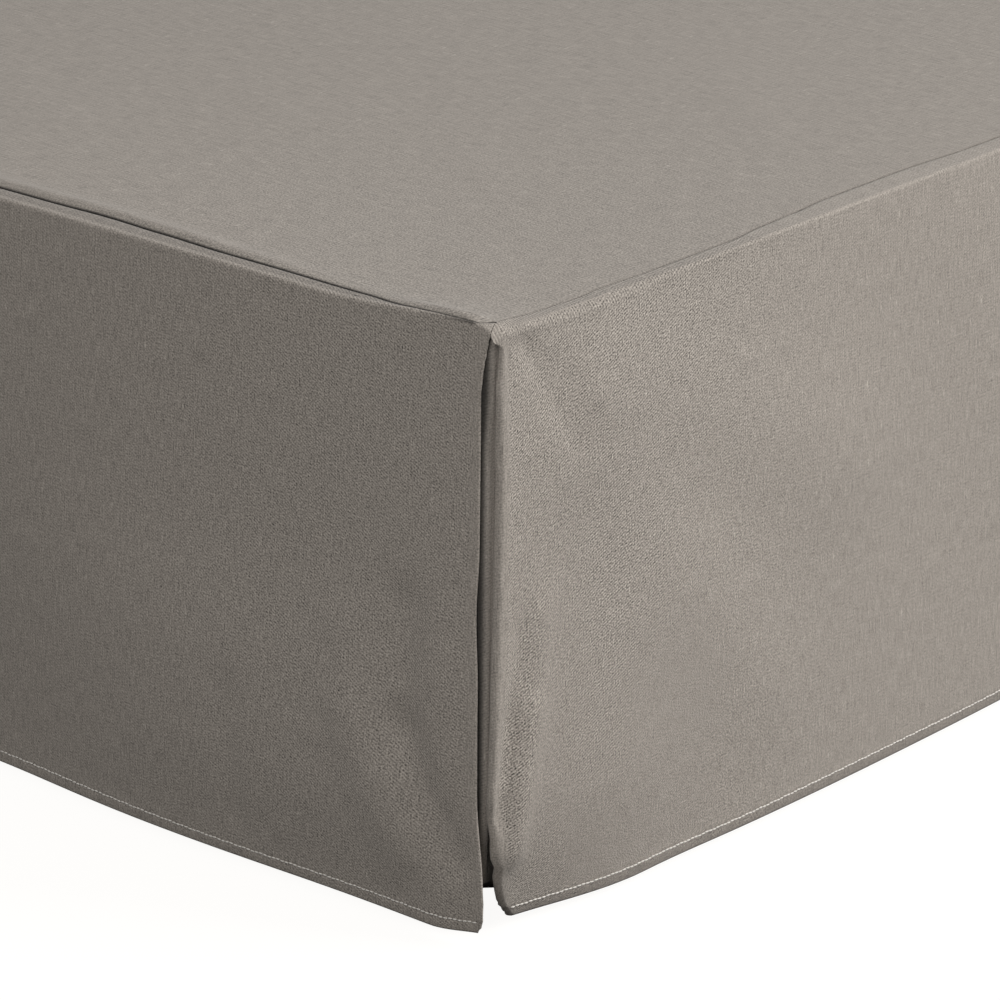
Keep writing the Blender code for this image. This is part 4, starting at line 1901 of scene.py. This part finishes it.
@dataclass
class Deck:
    """The flat panel on the base, sewn to the drops and hemmed at the head."""

    plan: Plan
    foot: Drop
    side_right: Drop
    side_left: Drop
    name: str = "deck_sheet"
    near_run: float = 0.60
    near_step: float = 0.0085
    far_step: float = 0.016
    settling: int = 6
    # Painted shade along the side seams, as a share of that along the foot seam.
    side_shade: float = 0.45
    seam_reach: float = 0.014
    hem_cloth: float = 0.0014
    hem_turn: float = 0.0012
    hem_edge: float = 0.0006
    hem_lines: int = 4
    puff_start: Ramp = Ramp(0.0, 0.0045)
    puff_from_side: Ramp = Ramp(0.010, 0.012)
    deepest_wrinkle: float = -0.0003
    well_away: float = 1.0
    weave_away: Ramp = Ramp(0.10, 0.45)
    margins: tuple[tuple[float, float], ...] = (
        (0.0, 0.0013), (0.0003, 0.0007), (0.0008, 0.0003), (0.0016, 0.0001), (0.0027, 0.0),
        (0.0045, 0.0), (0.0065, 0.0), (0.0090, 0.0), (0.0120, 0.0), (0.0160, 0.0), (0.0220, 0.0),
    )
    ridges: tuple[Ridge, ...] = DECK_RIDGES
    wrinkles: tuple[Crease, ...] = DECK_WRINKLES

    def stations(self, low: float, high: float, sewn_high: bool) -> list[tuple[float, float, float]]:
        """Grid lines across the deck, close together at the seams.

        Args:
            low: The seam at the low end.
            high: The seam or the hem at the high end.
            sewn_high: Whether the high end is a seam.

        Returns:
            Each line's place, its dip, and its distance from the nearest seam, where all that
            lie well away have the same.
        """
        lines = [(low + margin, dip, margin) for margin, dip in self.margins]
        start = lines[-1][0]
        if sewn_high:
            far = [(high - margin, dip, margin) for margin, dip in reversed(self.margins)]
        else:
            turned = high - self.plan.hem_height
            hem = (turned, turned + self.hem_turn, high - self.hem_edge, high)
            far = [(place, 0.0, self.well_away) for place in hem]
        near_end = low + self.near_run
        middle = steps(start, near_end, self.near_step) + [near_end]
        if sewn_high:
            other = high - self.near_run
            middle += steps(near_end, other, self.far_step) + [other]
            middle += steps(other, far[0][0], self.near_step)
        else:
            middle += steps(near_end, far[0][0], self.far_step)
        return lines + [(place, 0.0, self.well_away) for place in middle] + far

    def rise(self, x: float, y: float, from_seam: float) -> float:
        """How far the cloth is raised at its corners, puffed beside the foot seam, and wrinkled.

        Args:
            x: The point's place across the bed.
            y: Its place along the bed.
            from_seam: How far it lies from the foot seam.

        Returns:
            The rise, below 0 in a trough.
        """
        plan = self.plan
        from_side = plan.half_width - abs(x)
        raised = self.foot.top_edge.rise_at(from_side, y + plan.half_length)
        along = plan.half_width - x
        puff = sum(ridge.at(along, from_seam) for ridge in self.ridges)
        puff *= self.puff_start.up(from_seam) * self.puff_from_side.up(from_side)
        wrinkled = sum(wrinkle.at(x, y) for wrinkle in self.wrinkles)
        return raised + puff + max(self.deepest_wrinkle, wrinkled)

    def build(self, finish: bpy.types.Material) -> bpy.types.Object:
        """Makes the deck's sheet.

        Args:
            finish: Its material.

        Returns:
            The sheet's object.
        """
        plan = self.plan
        side = plan.half_width - plan.seam_inset - plan.seam_gap
        foot = -plan.half_length + plan.seam_inset + plan.seam_gap
        columns = self.stations(-side, side, sewn_high=True)
        rows = self.stations(foot, plan.head_edge, sewn_high=False)

        def place(i: int, j: int) -> Vector:
            """A point of the deck's upper face.

            Args:
                i: The column's number.
                j: The row's number.

            Returns:
                The point.
            """
            x, side_dip, side_margin = columns[i]
            y, foot_dip, foot_margin = rows[j]
            right = x > 0.0
            near_side = self.side_right if right else self.side_left
            from_side, from_foot = plan.half_width - abs(x), y + plan.half_length
            aside, ahead = from_side, from_foot
            for _ in range(self.settling):
                at_side = near_side.seam_inset(ahead) - plan.seam_inset
                aside = from_side + at_side * bell(side_margin, self.seam_reach)
                at_foot = self.foot.seam_inset(aside) - plan.seam_inset
                ahead = from_foot + at_foot * bell(foot_margin, self.seam_reach)
            x = (plan.half_width - aside) * (1.0 if right else -1.0)
            y = ahead - plan.half_length
            dip = max(side_dip * near_side.darks.dip_share, foot_dip)
            from_seam = ahead - self.foot.seam_inset(aside)
            return Vector((x, y, plan.deck_top - dip + self.rise(x, y, from_seam)))

        def shade(i: int, j: int) -> float:
            """How much painted shade the cloth gets along its seams."""
            return max(self.side_shade * bell(columns[i][2], SEAM_LINE), bell(rows[j][2], SEAM_LINE))

        def fade(i: int, j: int) -> float:
            """How much fainter the weave is, away from the corners at the foot."""
            away = math.hypot(plan.half_width - abs(columns[i][0]), rows[j][0] + plan.half_length)
            return self.weave_away.up(away)

        self.flat_size = (2.0 * side, plan.head_edge - foot)
        return Sheet(
            name=self.name,
            across=len(columns),
            up=len(rows),
            place=place,
            flat=lambda i, j: (columns[i][0], rows[j][0]),
            outwards=True,
            thickness=plan.cloth,
            hem_thickness=self.hem_cloth,
            is_hem=lambda i, j: j >= len(rows) - self.hem_lines,
            marks={PAINTED_SHADE_NAME: shade, FADE_NAME: fade},
        ).build(finish)


# ---------------------------------------------------------------------------
# The whole skirt
# ---------------------------------------------------------------------------


@dataclass
class BedSkirt:
    """The skirt's sheets and stitches, parented to the body."""

    plan: Plan
    face: TwillFinish = TwillFinish("Taupe twill", TAUPE)
    # The deck's taupe is a little darker than the drops': painted shade on the lit top face.
    lay: TwillFinish = TwillFinish(
        "Taupe twill deck", (0.267, 0.2385, 0.2085),
        ribs=0.10, warp=0.42, weft=0.46, grain=1.05, far_grain=0.35, slubs=0.22,
    )
    foot: TwillFinish = TwillFinish(
        "Taupe twill foot", TAUPE, 320.0, 500.0,
        ribs=0.45, grain=1.20, far_ribs=0.45, far_grain=0.65,
    )
    shade: TwillFinish = TwillFinish(
        "Taupe twill pleat", TAUPE, ribs=0.20, warp=0.30, weft=0.10, grain=0.6
    )
    thread: ThreadFinish = ThreadFinish()
    drops: dict[str, Drop] = field(default_factory=dict)

    def lay_out(self) -> None:
        """Places the three drops: each starts at a foot corner."""
        plan = self.plan
        ahead, aside = Vector((0.0, 1.0, 0.0)), Vector((1.0, 0.0, 0.0))
        right = Vector((plan.half_width, -plan.half_length, 0.0))
        left = Vector((-plan.half_width, -plan.half_length, 0.0))
        self.drops = {
            "drop_right": Drop(
                plan, "drop_right_sheet", right, ahead, aside, plan.side_length,
                RIGHT_SWELLS, RIGHT_CREASES, SIDE_DARKS, SIDE_CORNER,
            ),
            "drop_left": Drop(
                plan, "drop_left_sheet", left, ahead, -aside, plan.side_length,
                LEFT_SWELLS, LEFT_CREASES, SIDE_DARKS, SIDE_CORNER,
            ),
            "drop_foot": Drop(
                plan, "drop_foot_sheet", right, -aside, -ahead, plan.foot_length,
                FOOT_SWELLS, FOOT_CREASES, FOOT_DARKS, FOOT_CORNER, FOOT_CORNER,
            ),
        }

    def build(self, shared: dict[str, bpy.types.NodeTree]) -> None:
        """Makes every piece of the skirt and parents it to the body.

        Args:
            shared: The shared node groups.
        """
        self.lay_out()
        face, lay = self.face.make(shared), self.lay.make(shared)
        foot_face = self.foot.make(shared)
        shade, thread = self.shade.make(shared), self.thread.make()
        for node, drop in self.drops.items():
            piece = drop.build(foot_face if node == "drop_foot" else face)
            stitches = HemStitches(drop, node.replace("drop", "hem_stitches")).build(thread)
            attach(stitches, BODY)
            self.declare(piece, node, drop.flat_size, Slot.SKIRT)
        foot = self.drops["drop_foot"]
        for side, end in (("right", End.START), ("left", End.FINISH)):
            underlay = Underlay(
                self.plan, f"pleat_underlay_{side}_sheet", foot, self.drops[f"drop_{side}"], end
            )
            piece = underlay.build(shade)
            node = f"pleat_underlay_{side}"
            self.declare(piece, node, underlay.flat_size, Slot.PLEAT)
        deck = Deck(self.plan, foot, self.drops["drop_right"], self.drops["drop_left"])
        self.declare(deck.build(lay), "deck", deck.flat_size, Slot.SKIRT)

    def declare(
        self,
        piece: bpy.types.Object,
        node: str,
        flat: tuple[float, float],
        slot: Slot,
    ) -> None:
        """Parents a sheet to the body, hides the solid that it stands for and logs its size.

        Args:
            piece: The sheet.
            node: The name of the solid that it stands for.
            flat: The size that the cloth is cut to.
            slot: Not used.
        """
        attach(piece, BODY)
        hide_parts(node)
        LOG.info("%s: %d faces, cut %.3f by %.3f m", piece.name, len(piece.data.polygons), *flat)


@dataclass
class BedBase:
    """The base and its legs, which keep their solids."""

    cover: CoverFinish = CoverFinish()
    wood: WoodFinish = WoodFinish()

    def build(self, shared: dict[str, bpy.types.NodeTree]) -> None:
        """Gives each solid its finish.

        Args:
            shared: The shared node groups.
        """
        cover, wood = self.cover.make(shared), self.wood.make()
        for name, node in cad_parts.items():
            if name == "bed_base":
                self.dress(node, cover, Slot.BASE)
            elif name.startswith("leg_"):
                self.dress(node, wood, Slot.LEG)

    @staticmethod
    def dress(node: bpy.types.Object, finish: bpy.types.Material, slot: Slot) -> None:
        """Puts a finish on a solid.

        Args:
            node: The solid.
            finish: Its material.
            slot: Not used.
        """
        if node.material_slots:
            node.material_slots[0].material = finish
        else:
            node.data.materials.append(finish)
        LOG.info("%s: %s", node.name, finish.name)


# ---------------------------------------------------------------------------
# The studio
# ---------------------------------------------------------------------------


@dataclass(frozen=True)
class Lamp:
    """A soft square light: where it is, what it faces, how large and how strong it is."""

    name: str
    place: tuple[float, float, float]
    aim: tuple[float, float, float]
    size: float
    power: float
    colour: tuple[float, float, float] = (1.0, 1.0, 1.0)

    def build(self) -> None:
        """Makes the light."""
        data = bpy.data.lights.new(self.name, "AREA")
        data.shape = "SQUARE"
        data.size = self.size
        data.energy = self.power
        data.color = self.colour
        lamp = bpy.data.objects.new(self.name, data)
        place = Vector(self.place)
        lamp.location = place
        lamp.rotation_mode = "QUATERNION"
        lamp.rotation_quaternion = (Vector(self.aim) - place).to_track_quat("-Z", "Y")
        bpy.context.scene.collection.objects.link(lamp)


@dataclass(frozen=True)
class Studio:
    """A pale floor, soft lights and the camera at the skirt's foot corner."""

    plan: Plan
    floor_size: float = 40.0
    floor_colour: tuple[float, float, float] = (0.09, 0.0888, 0.086)
    floor_glow: float = 0.95
    floor_light: tuple[float, float, float, float] = (1.0, 0.99, 0.975, 1.0)
    floor_grain: Grain = Grain(3.0, 2.0)
    floor_tone: tuple[float, float] = (0.97, 1.03)
    floor_roughness: float = 0.9
    sky: float = 0.43
    azimuth: float = 40.32
    elevation: float = 20.52
    roll: float = 0.50
    focal: float = 6.172
    distance: float = 3.176
    corner_across: float = 0.4939
    corner_down: float = 0.3382
    sensor: float = 36.0
    sight: float = 60.0
    lamps: tuple[Lamp, ...] = (
        Lamp("Key", (4.38, 1.78, 2.75), (0.6, -0.6, 0.2), 2.8, 297.0),
        Lamp("Fill", (1.5, -2.8, 1.45), (0.50, -1.0, 0.24), 0.9, 19.8),
    )

    def build(self) -> None:
        """Makes the floor, the lights, the sky and the camera."""
        self.build_floor()
        self.build_sky()
        for lamp in self.lamps:
            lamp.build()
        self.build_camera()
        bpy.context.scene.view_settings.view_transform = "Standard"

    def build_floor(self) -> None:
        """A plain pale floor, bright enough to read as white."""
        material, build, shader = new_material("Pale floor")
        place = build.object_place()
        tone = build.spread(build.noise(place, self.floor_grain), 0.0, 1.0, *self.floor_tone)
        build.tint(shader, self.floor_colour, tone)
        shader.inputs["Roughness"].default_value = self.floor_roughness
        shader.inputs["Specular IOR Level"].default_value = 0.0
        shader.inputs["Emission Color"].default_value = self.floor_light
        seen = build.add("ShaderNodeLightPath").outputs["Is Camera Ray"]
        glow = build.times(seen, self.floor_glow)
        build.feed(shader.inputs["Emission Strength"], glow)
        form = bmesh.new()
        bmesh.ops.create_grid(form, x_segments=1, y_segments=1, size=self.floor_size / 2)
        floor = link_piece(form, "floor", material)

    def build_sky(self) -> None:
        """Even light from all round."""
        world = bpy.data.worlds.new("Studio")
        world.use_nodes = True
        background = world.node_tree.nodes["Background"]
        background.inputs["Color"].default_value = (1.0, 1.0, 1.0, 1.0)
        background.inputs["Strength"].default_value = self.sky
        bpy.context.scene.world = world

    def build_camera(self) -> None:
        """The camera, placed by where the skirt's foot corner stands in its frame."""
        azimuth, elevation = math.radians(self.azimuth), math.radians(self.elevation)
        roll = math.radians(self.roll)
        right = Vector((math.cos(azimuth), math.sin(azimuth), 0.0))
        back = Vector((
            math.sin(azimuth) * math.cos(elevation),
            -math.cos(azimuth) * math.cos(elevation),
            math.sin(elevation),
        ))
        upright = back.cross(right)
        across = right * math.cos(roll) + upright * math.sin(roll)
        upwards = upright * math.cos(roll) - right * math.sin(roll)
        corner = Vector((self.plan.half_width, -self.plan.half_length, self.plan.deck_top))
        scale = self.distance / self.focal
        place = corner + back * self.distance
        place += across * ((0.5 - self.corner_across) * scale)
        place += upwards * ((self.corner_down - 0.5) * scale)
        data = bpy.data.cameras.new("Camera")
        data.sensor_width = self.sensor
        data.lens = data.sensor_width * self.focal
        data.clip_end = self.sight
        camera = bpy.data.objects.new("Camera", data)
        matrix = Matrix((across, upwards, back)).transposed().to_4x4()
        matrix.translation = place
        camera.matrix_world = matrix
        bpy.context.scene.collection.objects.link(camera)
        bpy.context.scene.camera = camera


def main() -> None:
    """Builds the skirt, dresses the base and sets up the studio, in that order."""
    logging.basicConfig(level=logging.INFO, format="%(name)s: %(message)s")
    plan = Plan.from_frame()
    shared = groups()
    BedSkirt(plan).build(shared)
    BedBase().build(shared)
    Studio(plan).build()


if __name__ == "__main__":
    main()
